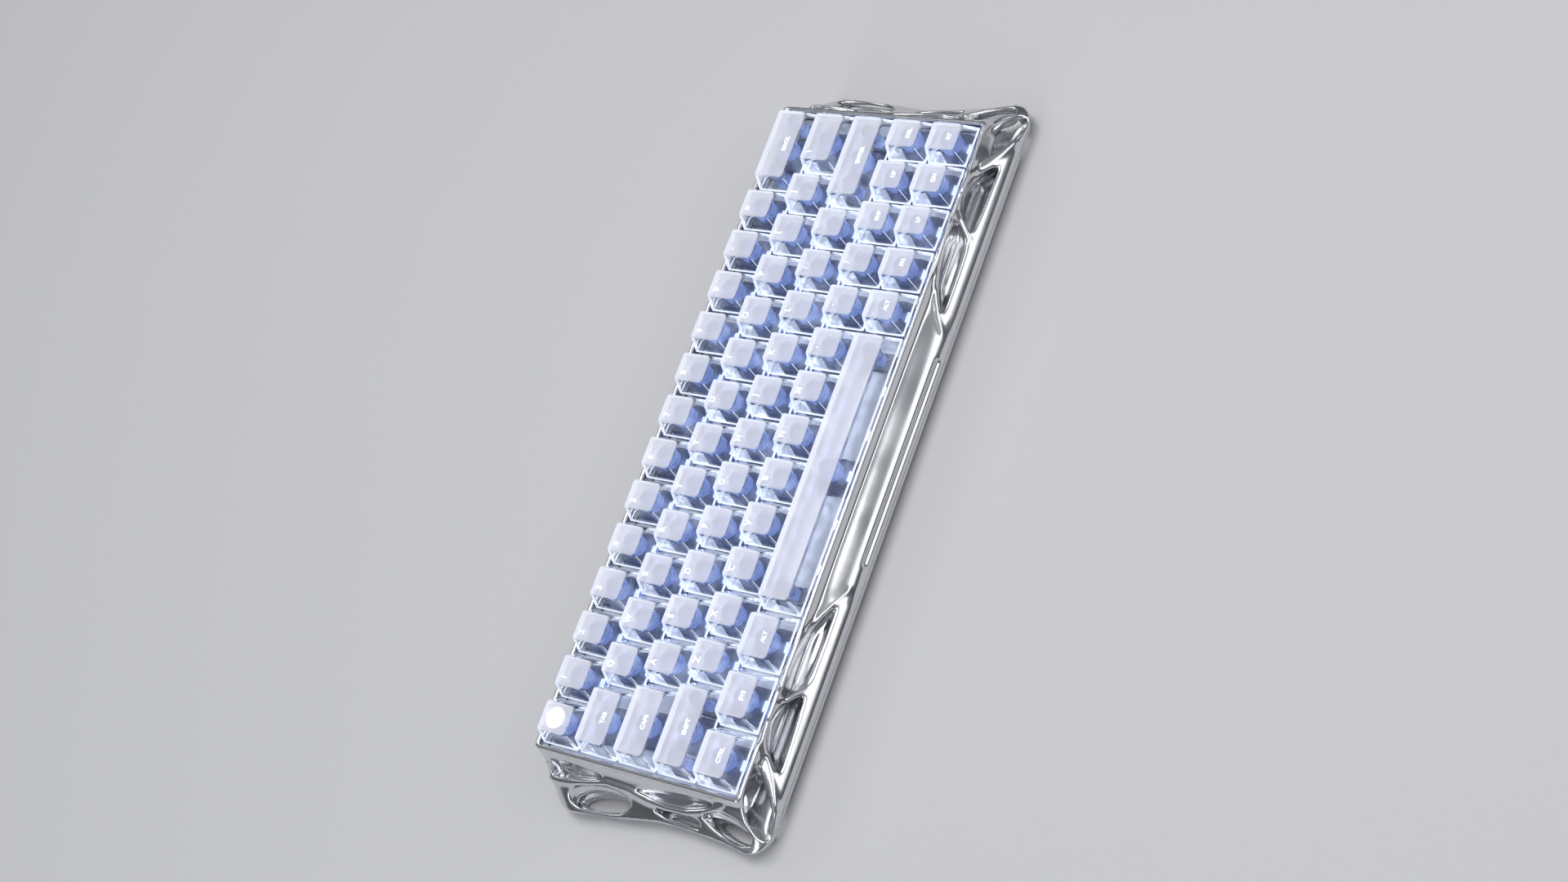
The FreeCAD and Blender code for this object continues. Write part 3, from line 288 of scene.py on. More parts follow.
class Place:
    """Places in and round the case, with what its forms are measured from."""

    def __init__(self, points):
        self.x, self.y, self.z = points.T
        self.span_x = np.abs(self.x)
        self.case_y = self.y - DECK_SHIFT
        self.deck_y, self.deck_z = deck_coordinates(self.y, self.z)
        self.skin = skin_distance(self.x, self.y, self.z, self.deck_y, self.deck_z)
        above = np.clip((self.deck_z + 13.0) / 2.6, 0.0, 1.0)
        self.wall = smooth_max(self.span_x - LEDGE_X - (WELL_X - LEDGE_X) * above,
                               np.abs(self.deck_y) - LEDGE_Y - (WELL_Y - LEDGE_Y) * above, 2.0) - 1.3

    def seen(self, lean):
        """The places as a leaning view shows them."""
        height = self.deck_z + SEEN_DEPTH
        return self.span_x - lean[0] * height, self.deck_y + lean[1] * height

    def pocket(self, away, depth, soft, wall_soft):
        """A hollow that stops at a depth below the skin and at the wall round the keys."""
        return smooth_max(smooth_max(away, -depth - self.skin, soft), -self.wall, wall_soft)

    def ribbon(self, body, seen, route, radius, sunk, blend, where):
        """The body with a raised line along a route on its skin."""
        line = np.hypot(route_distance(*seen, route), self.skin + sunk) - radius
        return smooth_min(body, np.where(where, line, NO_FORM), blend)


def cut(body, form, blend, where=True):
    """The body less a form, with a soft edge."""
    return smooth_max(body, -np.where(where, form, NO_FORM), blend)


def carve_front(body, place):
    """Cuts the pockets and ribbons of the front, its pill, its seams and the corner slots."""
    front, seen = place.y < FRONT_BEGINS, place.seen(FRONT_LEAN)
    for corners, depth in FRONT_POCKETS:
        body = cut(body, place.pocket(outline_distance(*seen, corners), depth, 3.4, 1.6), 0.9, front)
    for route, radius in FRONT_RIDGES:
        body = place.ribbon(body, seen, route, radius, 0.35, 1.3, front)
    pill = np.hypot(np.maximum(place.span_x - 43.0, 0.0), np.hypot(place.y + 55.2, place.z - 9.6)) - 1.25
    body = cut(body, pill, 0.5)
    beside = np.maximum(np.abs(place.span_x - 94.0) - 36.0, 0.0)
    body = cut(body, np.hypot(beside, np.hypot(place.y + 54.9, place.z - 10.4)) - 0.55, 0.6)
    return cut(body, outline_distance(place.span_x, place.case_y, CORNER_SLOT) + 0.3, 1.0)


def carve_ends(body, place):
    """Cuts the recesses and lipped slots of both ends, and adds their ribbons."""
    end, seen = place.span_x > END_BEGINS, place.seen(END_LEAN)
    for corners, depth in END_RECESSES:
        pocket = place.pocket(outline_distance(*seen, corners), depth, 2.4, 1.4)
        body = cut(body, smooth_max(pocket, place.y - 50.6, 1.5), 0.9, end)
    for corners, lip in END_SLOTS:
        away = outline_distance(place.span_x, place.case_y, corners)
        body = cut(body, away + 0.6, 0.9)
        body = cut(body, smooth_max(away - lip, -3.2 - place.skin, 2.0), 1.0)
    for route, radius in END_RIDGES:
        body = place.ribbon(body, seen, route, radius, 0.3, 1.4, end)
    return body


def carve_rear(body, place):
    """Cuts the lens-shaped pockets of the rear wall and the seats of the inlet and the insert."""
    rear = place.y > REAR_BEGINS
    for x0, x1, mid, half, depth in REAR_POCKETS:
        reach = (x1 - x0) / 2.0
        radius = (reach * reach + half * half) / (2.0 * half)
        from_middle = place.x - (x0 + x1) / 2.0
        lens = np.maximum(np.hypot(from_middle, place.z - mid - half + radius),
                          np.hypot(from_middle, place.z - mid + half - radius)) - radius
        body = cut(body, smooth_max(lens - 2.4, -1.0 - place.skin, 1.0), 0.7, rear)
        body = cut(body, place.pocket(lens, depth, 1.8, 1.0), 0.8, rear)
    for (mid_x, mid_z), reach, radius, depth, soft, blend in REAR_SEATS:
        loop = np.hypot(np.maximum(np.abs(place.x - mid_x) - reach, 0.0), place.z - mid_z) - radius
        floor = -depth - place.skin
        loop = smooth_max(loop, floor, soft) if soft else np.maximum(loop, floor)
        body = cut(body, loop, blend, rear)
    away_x = np.maximum(np.abs(place.x - USB_PLACE[0]) - 3.0, 0.0)
    return cut(body, np.hypot(away_x, place.z - USB_PLACE[1]) - 1.9, 0.2, place.y > INLET_BEGINS)


def case_distance(points):
    """Distance to the carved case frame, in millimetres, below zero in the metal."""
    place = Place(points)
    body = place.skin
    if place.y.min() < FRONT_BEGINS:
        body = carve_front(body, place)
    if place.span_x.max() > END_BEGINS:
        body = carve_ends(body, place)
    if place.y.max() > REAR_BEGINS:
        body = carve_rear(body, place)
    well = smooth_max(place.span_x - WELL_X, np.abs(place.deck_y) - WELL_Y, 1.6)
    well = np.maximum(well, -LEDGE_DEPTH - place.deck_z)
    room = smooth_max(place.span_x - LEDGE_X, np.abs(place.deck_y) - LEDGE_Y, 3.0)
    body = cut(body, np.minimum(well, room), 0.4)
    return smooth_max(body, np.abs(place.y) - CASE_HALF_DEPTH, 0.3)


def groove_depth(x, case_y):
    """How deep the underside is dented by its soft grooves, which fade at their tips, and by its pill."""
    dent = np.zeros(x.shape)
    for route in GROOVES:
        route = smooth_route(route)
        away = route_distance(x, case_y, route)
        tips = np.minimum(*(np.hypot(x - tip[0], case_y - tip[1]) for tip in (route[0], route[-1])))
        fade = np.clip(tips / 16.0, 0.12, 1.0)
        groove = 0.75 * np.exp(-(away / 2.0) ** 2) + 0.5 * np.exp(-(away / 5.5) ** 2)
        dent = np.maximum(dent, fade * groove)
    pill = np.hypot(np.maximum(np.abs(x) - 21.0, 0.0), case_y - 47.6)
    return np.maximum(dent, 0.8 * np.exp(-(pill / 2.6) ** 4))


def plate_distance(points):
    """Distance to the carved bottom plate, in millimetres, below zero in the metal."""
    x, y, z = points.T
    case_y = y - DECK_SHIFT
    rise = np.clip((z - PLATE_BOTTOM) / 4.0, 0.0, 1.0)
    inset = 1.05 + 2.0 * (1.0 - rise) ** 2.4
    front, rear = PLATE_FRONT + inset - case_y, case_y - PLATE_REAR + inset
    ends = np.abs(x) - end_reach(y) + inset
    sheet = smooth_max(smooth_max(front, ends, 11.0), rear, 12.5)
    body = smooth_max(sheet, PLATE_BOTTOM + groove_depth(x, case_y) - z, 0.7)
    body = smooth_max(body, z - PARTING_HEIGHT, 0.2)
    for foot_x, foot_y in FEET:
        reach = np.hypot(np.maximum(np.abs(x - foot_x) - 13.5, 0.0), case_y - foot_y) - 3.2
        body = cut(body, np.maximum(reach, z - 2.0), 0.35)
    for screw_x, screw_y in SCREWS:
        reach = np.hypot(x - screw_x, case_y - screw_y)
        body = cut(body, np.maximum(reach - 2.9, z - 3.6), 0.25)
    for corners, _ in END_SLOTS:
        body = cut(body, outline_distance(np.abs(x), case_y, corners) + 0.5, 0.8)
    return cut(body, outline_distance(np.abs(x), case_y, CORNER_SLOT) + 0.1, 0.8)


def rise_of(distance, points, reach=0.02):
    """A distance at each point, and its slope along the three axes."""
    here = distance(points)
    return here, np.stack([distance(points + reach * np.eye(3)[i]) - here for i in range(3)], 1) / reach


def neighbour_mean(values, faces):
    """For each vertex, the mean over its faces of a value of their corners."""
    corners = faces.ravel()
    middles = np.repeat(values[faces].mean(1), 4, axis=0)
    total = np.stack([np.bincount(corners, middles[:, i], len(values)) for i in range(3)], 1)
    return total / np.bincount(corners, minlength=len(values))[:, None]


def carve(distance, low, high, step, wanted=None):
    """A smooth quad mesh of the surface where a distance is zero, in millimetres, and its normals."""
    counts = [int(math.ceil((b - a) / step)) + 1 for a, b in zip(low, high)]
    axes = [low[i] + step * np.arange(counts[i]) for i in range(3)]
    values = np.full(counts, 1.0, np.float32)
    for first in range(0, counts[0], SLAB):
        slab = slice(first, min(first + SLAB, counts[0]))
        grid = np.stack(np.meshgrid(axes[0][slab], axes[1], axes[2], indexing="ij"), -1).reshape(-1, 3)
        found = np.full(len(grid), 1.0)
        used = np.ones(len(grid), bool) if wanted is None else wanted(grid)
        if used.any():
            found[used] = distance(grid[used])
        values[slab] = found.reshape(values[slab].shape)
    inside = values < 0.0
    corners = [(i, j, k) for i in (0, 1) for j in (0, 1) for k in (0, 1)]
    near = [inside[i:counts[0] - 1 + i, j:counts[1] - 1 + j, k:counts[2] - 1 + k] for i, j, k in corners]
    some, every = near[0].copy(), near[0].copy()
    for part in near[1:]:
        some |= part
        every &= part
    cells = np.argwhere(some & ~every)
    number = np.full([c - 1 for c in counts], -1, np.int32)
    number[tuple(cells.T)] = np.arange(len(cells))
    levels = [values[cells[:, 0] + i, cells[:, 1] + j, cells[:, 2] + k] for i, j, k in corners]
    total, count = np.zeros((len(cells), 3)), np.zeros(len(cells))
    for a in range(8):
        for b in range(a + 1, 8):
            if sum(abs(p - q) for p, q in zip(corners[a], corners[b])) != 1:
                continue
            crossed = (levels[a] < 0) != (levels[b] < 0)
            part = levels[a] / np.where(crossed, levels[a] - levels[b], 1.0)
            place = np.array(corners[a]) + part[:, None] * (np.array(corners[b]) - np.array(corners[a]))
            total += np.where(crossed[:, None], place, 0.0)
            count += crossed
    verts = np.array(low) + step * (cells + total / count[:, None])
    for _ in range(PULL_TURNS):
        here, slope = rise_of(distance, verts)
        size = np.maximum((slope ** 2).sum(1), 0.2)
        verts -= np.clip(here / size, -0.4 * step, 0.4 * step)[:, None] * slope
    faces = []
    for axis in range(3):
        one, two = [i for i in range(3) if i != axis]
        here = [slice(1, c - 1) for c in counts]
        here[axis] = slice(0, counts[axis] - 1)
        after = list(here)
        after[axis] = slice(1, counts[axis])
        start, stop = inside[tuple(here)], inside[tuple(after)]
        spots = np.argwhere(start != stop)
        spots[:, one] += 1
        spots[:, two] += 1
        outward = inside[tuple(spots.T)]
        ring = []
        for a, b in ((0, 0), (1, 0), (1, 1), (0, 1)):
            cell = spots.copy()
            cell[:, one] -= 1 - a
            cell[:, two] -= 1 - b
            ring.append(number[tuple(cell.T)])
        quads = np.stack(ring, 1)
        if axis == 1:
            outward = ~outward
        quads[~outward] = quads[~outward][:, ::-1]
        faces.append(quads)
    faces = np.concatenate(faces)
    for part in RELAX_TURNS * (RELAX, SPREAD):
        verts = verts + part * (neighbour_mean(verts, faces) - verts)
    normals = rise_of(distance, verts, 0.1)[1]
    for _ in range(3):
        normals /= np.linalg.norm(normals, axis=1, keepdims=True) + 1e-9
        normals = neighbour_mean(normals, faces)
    return verts, faces, normals


# Mesh helpers


def show(name, data):
    """A new object of the scene."""
    shown = bpy.data.objects.new(name, data)
    bpy.context.scene.collection.objects.link(shown)
    return shown


def link_piece(name, mesh, body, finishes, node=None):
    """A new piece with its finishes, riding on a body, in the place of a node if one is named."""
    piece = show(name, mesh)
    for finish in finishes:
        mesh.materials.append(finish_of(finish))
    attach(piece, body)
    if node is not None:
        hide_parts(node)


def mesh_from_arrays(name, verts, faces, normals):
    """A smooth mesh from a carved surface and its normals."""
    if not len(faces):
        raise RuntimeError(name + " has no faces")
    mesh = bpy.data.meshes.new(name)
    mesh.vertices.add(len(verts))
    mesh.vertices.foreach_set("co", (np.asarray(verts) * MM).astype(np.float32).ravel())
    mesh.loops.add(faces.size)
    mesh.loops.foreach_set("vertex_index", faces.astype(np.int32).ravel())
    mesh.polygons.add(len(faces))
    mesh.polygons.foreach_set("loop_start", np.arange(0, faces.size, faces.shape[1], dtype=np.int32))
    mesh.update(calc_edges=True)
    if mesh.validate():
        raise RuntimeError(name + " has faces that don't hold together")
    mesh.shade_smooth()
    mesh.normals_split_custom_set_from_vertices(normals / np.linalg.norm(normals, axis=1, keepdims=True))
    return mesh


class Maker:
    """Collects rings and faces of one piece, in millimetres, as a bmesh."""

    def __init__(self):
        self.bm = bmesh.new()

    def ring(self, points):
        return [self.bm.verts.new(Vector(p) * MM) for p in points]

    def deck_ring(self, outline, z):
        return self.ring([from_deck(x, y, z) for x, y in outline])

    def floor_ring(self, outline, z):
        return self.ring([(x, y + DECK_SHIFT, z) for x, y in outline])

    def deck_levels(self, x, y, levels, steps=2):
        """Rounded rectangles round a place of the deck, from their half sides, radius and height."""
        return [self.deck_ring(rounded_rectangle(x - half_x, x + half_x, y - half_y, y + half_y, radius,
                                                 steps), z) for half_x, half_y, radius, z in levels]

    def solid(self, rings, finish=0):
        self.skin(rings, finish, cap_first=True, cap_last=True)

    def skin(self, rings, finish=0, cap_first=False, cap_last=False):
        made = []
        for low, high in zip(rings[:-1], rings[1:]):
            count = len(low)
            for i in range(count):
                j = (i + 1) % count
                made.append(self.bm.faces.new((low[i], low[j], high[j], high[i])))
        if cap_first:
            made.append(self.bm.faces.new(list(reversed(rings[0]))))
        if cap_last:
            made.append(self.bm.faces.new(rings[-1]))
        for face in made:
            face.material_index = finish
            face.smooth = True
        return made

    def mesh(self, name):
        mesh = bpy.data.meshes.new(name)
        bmesh.ops.recalc_face_normals(self.bm, faces=self.bm.faces)
        for edge in self.bm.edges:
            if len(edge.link_faces) == 2 and edge.calc_face_angle(0.0) > SHARP_ANGLE:
                edge.smooth = False
        self.bm.to_mesh(mesh)
        self.bm.free()
        return mesh


def rounded_rectangle(x0, x1, y0, y1, radius, steps):
    points = []
    for cx, cy, first in ((x1 - radius, y1 - radius, 0), (x0 + radius, y1 - radius, 90),
                          (x0 + radius, y0 + radius, 180), (x1 - radius, y0 + radius, 270)):
        for i in range(steps + 1):
            angle = math.radians(first + 90 * i / steps)
            points.append((cx + radius * math.cos(angle), cy + radius * math.sin(angle)))
    return points


def circle(x, y, radius, sides=20, turn=0.0):
    return [(x + radius * math.cos(turn + 2 * math.pi * i / sides),
             y + radius * math.sin(turn + 2 * math.pi * i / sides)) for i in range(sides)]


# Finishes


def fill(tree, node, **inputs):
    """Sets a node's inputs to values, or links them to other nodes' outputs."""
    for key, value in inputs.items():
        socket = node.inputs[key.replace("_", " ")]
        if isinstance(value, bpy.types.NodeSocket):
            tree.links.new(value, socket)
        else:
            socket.default_value = value


def add_node(tree, kind, **inputs):
    node = tree.nodes.new("ShaderNode" + kind)
    fill(tree, node, **inputs)
    return node


class Finish:
    """A node material built up from a principled shader."""

    def __init__(self, name, colour, roughness, metallic=0.0, **sockets):
        self.material = bpy.data.materials.new(name)
        self.material.use_nodes = True
        self.tree = self.material.node_tree
        self.shader = self.tree.nodes["Principled BSDF"]
        fill(self.tree, self.shader, Base_Color=(*colour, 1.0), Roughness=roughness, Metallic=metallic,
             **sockets)
        self.place = self.tree.nodes.new("ShaderNodeTexCoord").outputs["Object"]
        self.height = None

    def noise(self, scale, detail=3.0, stretch=(1, 1, 1)):
        mapping = add_node(self.tree, "Mapping", Scale=stretch, Vector=self.place)
        return add_node(self.tree, "TexNoise", Scale=scale, Detail=detail,
                        Vector=mapping.outputs["Vector"]).outputs["Fac"]

    def ranged(self, value, low, high, from_low=0.3, from_high=0.7):
        ranged = add_node(self.tree, "MapRange", From_Min=from_low, From_Max=from_high, To_Min=low,
                          To_Max=high, Value=value)
        return ranged.outputs["Result"]

    def mottle(self, factor, first, second):
        """Base colour that wanders between two colours."""
        mix = self.tree.nodes.new("ShaderNodeMix")
        mix.data_type = "RGBA"
        mix.inputs[6].default_value = (*first, 1.0)
        mix.inputs[7].default_value = (*second, 1.0)
        self.tree.links.new(factor, mix.inputs[0])
        fill(self.tree, self.shader, Base_Color=mix.outputs[2])

    def gloss(self, factor, low, high):
        fill(self.tree, self.shader, Roughness=self.ranged(factor, low, high))

    # Painted glow: an emission strength that wanders with a noise
    def glow(self, factor, low, high):
        fill(self.tree, self.shader, Emission_Strength=self.ranged(factor, low, high, 0.48, 0.68))

    def bump(self, height, distance, strength):
        bump = add_node(self.tree, "Bump", Distance=distance * MM, Strength=strength, Height=height)
        if self.height is not None:
            fill(self.tree, bump, Normal=self.height)
        self.height = bump.outputs["Normal"]
        fill(self.tree, self.shader, Normal=self.height)


class Recipe(NamedTuple):
    """What a plain finish is made of."""

    colour: tuple
    roughness: float
    metallic: float
    mottle: tuple  # scale of the noise, and the two colours that the surface wanders between
    bump: tuple  # scale of the noise, depth in millimetres, strength, then detail and stretch of the noise
    gloss: tuple = ()  # scale of the noise, and the range of the roughness
    glow: tuple = ()  # scale of the noise, and the range of the painted glow, an emission strength
    sockets: dict = {}  # further inputs of the shader


def clear(weight, ior=1.49, **sockets):
    return dict(Transmission_Weight=weight, IOR=ior, **sockets)


# Emission colour, for the lights under the keys and for the painted glow of parts that are no lamps
def light(red, green, **sockets):
    return dict(Emission_Color=(red, green, 1.0, 1.0), **sockets)


def recipes(look):
    """The recipes of all plain finishes."""
    cap = tuple(look.cap_colour)
    return {
        "plate_metal": Recipe(
            (0.6, 0.63, 0.7), 0.38, 1.0, (40.0, (0.54, 0.57, 0.64), (0.66, 0.7, 0.78)),
            (1800.0, 0.02, 0.2), (300.0, 0.3, 0.48)),
        "screw_steel": Recipe(
            (0.5, 0.51, 0.53), 0.3, 1.0, (300.0, (0.4, 0.41, 0.43), (0.56, 0.57, 0.6)),
            (2600.0, 0.01, 0.2), (900.0, 0.22, 0.4)),
        # Near-black steel of the screws' hexagon sockets: painted shade in their recess
        "socket_painted_shade": Recipe(
            (0.1, 0.1, 0.11), 0.42, 1.0, (200.0, (0.07, 0.07, 0.08), (0.14, 0.14, 0.15)),
            (1600.0, 0.02, 0.2)),
        "wire_steel": Recipe(
            (0.6, 0.61, 0.63), 0.18, 1.0, (200.0, (0.52, 0.53, 0.55), (0.66, 0.67, 0.69)),
            (1800.0, 0.01, 0.2, 2.0, (1, 8, 8))),
        # Clear cap walls, with a faint painted glow from their own emission that wanders with a noise
        "clear_wall_painted_glow": Recipe(
            (0.93, 0.95, 1.0), 0.03, 0.0, (60.0, (0.91, 0.94, 1.0), (0.95, 0.965, 1.0)),
            (120.0, 0.05, 0.08, 1.0), (140.0, 0.015, 0.05), (120.0, 0.0, 0.1),
            clear(1.0, **light(0.66, 0.76))),
        # Frosted cap tops; their emission paints a glow, as if they were lit from below
        "frosted_top": Recipe(
            cap, 0.42, 0.0, (70.0, tuple(0.96 * c for c in cap), cap), (3200.0, 0.02, 0.25, 2.0),
            (700.0, 0.36, 0.5), (),
            clear(0.45, 1.45, **light(0.72, 0.78, Emission_Strength=look.cap_glow))),
        "clear_boss": Recipe(
            (0.8, 0.85, 0.95), 0.15, 0.0, (90.0, (0.76, 0.81, 0.93), (0.84, 0.88, 0.97)),
            (900.0, 0.02, 0.15), (), (), clear(0.8)),
        # Painted glow: the caps' base edges and front inner corners shine by their own emission
        "lit_edge": Recipe(
            (0.9, 0.94, 1.0), 0.2, 0.0, (300.0, (0.86, 0.9, 1.0), (0.94, 0.97, 1.0)), (1500.0, 0.01, 0.15),
            (), (), clear(0.3, **light(0.8, 0.87, Emission_Strength=look.edge_glow))),
        # Painted glow: the inner wall at the rear left of a cap, brightened by an emission that wanders
        # with a noise
        "lit_wall": Recipe(
            (0.92, 0.95, 1.0), 0.12, 0.0, (200.0, (0.88, 0.92, 1.0), (0.95, 0.97, 1.0)),
            (900.0, 0.02, 0.15), (), (260.0, 0.3, 0.9), clear(0.6, **light(0.72, 0.81))),
        # Painted glow: the light guides shine by their own emission
        "light_guide": Recipe(
            (0.7, 0.76, 0.92), 0.12, 0.0, (400.0, (0.6, 0.68, 0.9), (0.72, 0.8, 1.0)), (1500.0, 0.01, 0.2),
            (), (), clear(0.6, 1.5, **light(0.6, 0.7, Emission_Strength=0.95))),
        # White printed legends, which also shine by a painted glow from their own emission
        "legend_ink_painted_glow": Recipe(
            (0.92, 0.93, 0.95), 0.4, 0.0, (500.0, (0.88, 0.89, 0.92), (0.96, 0.965, 0.98)),
            (2600.0, 0.01, 0.15), (), (), light(0.9, 0.94, Emission_Strength=1.0)),
        "led_light": Recipe(
            (0.85, 0.9, 1.0), 0.3, 0.0, (400.0, (0.8, 0.87, 1.0), (0.9, 0.94, 1.0)), (1500.0, 0.01, 0.2),
            (), (), light(0.5, 0.66, Emission_Strength=look.led_strength)),
        # Painted glow: the small windows below the space bar shine by their own emission
        "light_window": Recipe(
            (0.9, 0.93, 1.0), 0.3, 0.0, (400.0, (0.86, 0.9, 1.0), (0.94, 0.96, 1.0)), (1500.0, 0.01, 0.2),
            (), (), light(0.86, 0.92, Emission_Strength=2.4)),
        # Guards about the stems, blue plastic with a painted glow from their own emission
        "guard_plastic_painted_glow": Recipe(
            (0.44, 0.53, 0.76), 0.25, 0.0, (120.0, (0.38, 0.48, 0.72), (0.5, 0.59, 0.83)),
            (2400.0, 0.005, 0.05), (200.0, 0.2, 0.3), (),
            clear(0.5, Emission_Color=(0.34, 0.48, 0.96, 1.0), Emission_Strength=0.16)),
        "housing_plastic": Recipe(
            (0.24, 0.3, 0.46), 0.22, 0.0, (90.0, (0.2, 0.25, 0.4), (0.3, 0.36, 0.54)),
            (2400.0, 0.006, 0.07), (200.0, 0.18, 0.28), (), clear(0.35, 1.5)),
        "stabilizer_plastic": Recipe(
            (0.42, 0.46, 0.56), 0.3, 0.0, (90.0, (0.36, 0.4, 0.5), (0.48, 0.52, 0.62)),
            (1500.0, 0.02, 0.2), (420.0, 0.22, 0.4), (), clear(0.3, 1.5)),
        "foot_rubber": Recipe(
            (0.2, 0.205, 0.215), 0.66, 0.0, (150.0, (0.17, 0.175, 0.185), (0.24, 0.245, 0.255)),
            (1500.0, 0.05, 0.4, 4.0), (400.0, 0.62, 0.82)),
        "insert_plastic": Recipe(
            (0.42, 0.43, 0.45), 0.35, 0.6, (80.0, (0.38, 0.39, 0.41), (0.46, 0.47, 0.5)),
            (2000.0, 0.02, 0.2), (500.0, 0.28, 0.44)),
        "board": Recipe(
            (0.02, 0.025, 0.03), 0.45, 0.0, (120.0, (0.015, 0.02, 0.025), (0.035, 0.04, 0.05)),
            (1200.0, 0.02, 0.3), (300.0, 0.35, 0.55)),
        "cable_film": Recipe(
            (0.5, 0.2, 0.05), 0.35, 0.0, (150.0, (0.42, 0.16, 0.04), (0.58, 0.26, 0.07)),
            (900.0, 0.02, 0.3, 2.0, (1, 0.05, 1))),
        "foam": Recipe(
            (0.05, 0.05, 0.055), 0.9, 0.0, (500.0, (0.03, 0.03, 0.035), (0.08, 0.08, 0.085)),
            (1400.0, 0.2, 0.7, 5.0)),
        "gasket": Recipe(
            (0.04, 0.04, 0.045), 0.8, 0.0, (300.0, (0.03, 0.03, 0.035), (0.06, 0.06, 0.065)),
            (1300.0, 0.1, 0.5, 4.0)),
    }


def plain_finish(name, recipe):
    """A finish made by its recipe."""
    made = Finish(name, recipe.colour, recipe.roughness, recipe.metallic, **recipe.sockets)
    scale, first, second = recipe.mottle
    made.mottle(made.noise(scale), first, second)
    if recipe.gloss:
        scale, low, high = recipe.gloss
        made.gloss(made.noise(scale), low, high)
    if recipe.glow:
        scale, low, high = recipe.glow
        made.glow(made.noise(scale, 2.0), low, high)
    scale, depth, strength, *more = recipe.bump
    made.bump(made.noise(scale, *more), depth, strength)
    return made


def metal_finish(name, look):
    """The case's metal, polished or brushed."""
    metal, rough = tuple(look.metal_colour), look.metal_roughness
    if name == "polished_metal":
        made = Finish(name, metal, rough, 1.0)
        made.mottle(made.ranged(made.noise(26.0, 4.0), 0.0, 1.0), tuple(0.9 * c for c in metal), metal)
        made.gloss(made.noise(55.0, 5.0), rough * 0.75, rough * 1.35)
        made.bump(made.noise(2400.0, 2.0), 0.01, 0.12)
        made.bump(made.noise(38.0, 2.0), 0.25, 0.06)
        return made
    made = Finish(name, metal, rough + 0.12, 1.0, Anisotropic=0.35)
    made.mottle(made.ranged(made.noise(14.0, 3.0), 0.0, 1.0), tuple(0.93 * c for c in metal),
                tuple(1.02 * c for c in metal))
    brush = made.noise(2600.0, 2.0, (0.03, 1.0, 1.0))
    made.gloss(brush, rough + 0.08, rough + 0.15)
    made.bump(brush, 0.004, 0.06)
    return made


FINISHES = {}


def finish_of(name):
    """The finish for one kind of surface, made once and shared."""
    if name not in FINISHES:
        look = bpy.context.scene.keyboard_look
        is_metal = name in ("polished_metal", "brushed_metal")
        FINISHES[name] = metal_finish(name, look) if is_metal else plain_finish(name, recipes(look)[name])
    return FINISHES[name].material


def dress(node, name):
    """Gives a carried-over node its finish."""
    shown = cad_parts[node]
    shown.data.materials.clear()
    shown.data.materials.append(finish_of(name))


# Keys


class Key(NamedTuple):
    """A key's row, name, width in units, legend, and middle in the deck plane."""

    row: int
    name: str
    width: float
    legend: str
    x: float
    y: float


def keys():
    """All keys, from the rear left to the front right."""
    found = []
    for row, line in enumerate(ROWS):
        left = -ROW_UNITS * KEY_PITCH / 2.0
        y = (len(ROWS) / 2.0 - row - 0.5) * KEY_PITCH
        for word in line.split():
            name, _, wide = word.partition(":")
            width = float(wide or 1)
            legend = LEGENDS.get(name, name.upper())
            found.append(Key(row, name, width, legend, left + width * KEY_PITCH / 2.0, y))
            left += width * KEY_PITCH
    return found


def keys_by_node():
    """The keys of each key node, found by the nodes' own boxes."""
    groups = {}
    boxes = {node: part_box(node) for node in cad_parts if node.startswith("key")}
    for key in keys():
        x, y = key.x, from_deck(key.x, key.y, 0.0).y
        for node, (low, high) in boxes.items():
            if low.x / MM < x < high.x / MM and low.y / MM < y < high.y / MM:
                groups.setdefault(node, []).append(key)
    return groups


# How far the sides, the front and the rear of a cap lean inward over its height, its wall, and its lower
# levels with the radius of their front and rear corners
CAP_DRAFT = (3.1, 3.7, 1.0)
CAP_WALL = 1.3
CAP_LEVELS = ((0.0, 0.7, 0.7), (0.045, 0.75, 0.7), (0.3, 1.0, 0.75), (0.95, 2.0, 0.8))
# Places of the cap's finishes, and of the inner faces at its front corners and at its rear left; the lit
# edge and the lit wall are painted glow
CLEAR, FROSTED, BOSS, LIT_EDGE, LIT_WALL = range(5)
FRONT_CORNERS = (15, 21)
REAR_LEFT = slice(8, 12)
# The flat part of a frosted top: how far its sides, front and rear stand in, the radius of its front and
# rear corners, and the depth and parts of its dish
TOP_INSET = (3.4, 4.0, 1.3)
TOP_CORNERS = (1.8, 0.7)
DISH_DEPTH, DISH_PARTS = 0.22, (0.8, 0.45)
# Thickness of the top, and the boss below it with its socket
CAP_ROOF = 1.5
BOSS_RADIUS, SOCKET_RADIUS, SOCKET_DEPTH = 2.75, 1.9, 3.9
# Radius and height of the levels of the guard about a stem, and of the disc on the first key
GUARD_LEVELS = ((3.65, 0.0), (4.2, 0.0), (4.15, 3.6), (4.0, 4.1), (3.75, 4.1), (3.65, 3.7))
DISC_LEVELS = ((4.3, -0.15), (4.3, 0.06), (4.15, 0.1))
# Half sides and corner radii of a stem's slider, and of the plainer sliders of the stabilizers
STEM_SLIDER = (3.5, 2.7, 0.6, 0.5)
SIDE_SLIDER = (2.1, 2.1, 0.4, 0.4)
POST_ARMS, POST_HEIGHT = ((1.85, 0.6), (0.55, 1.85)), 3.5


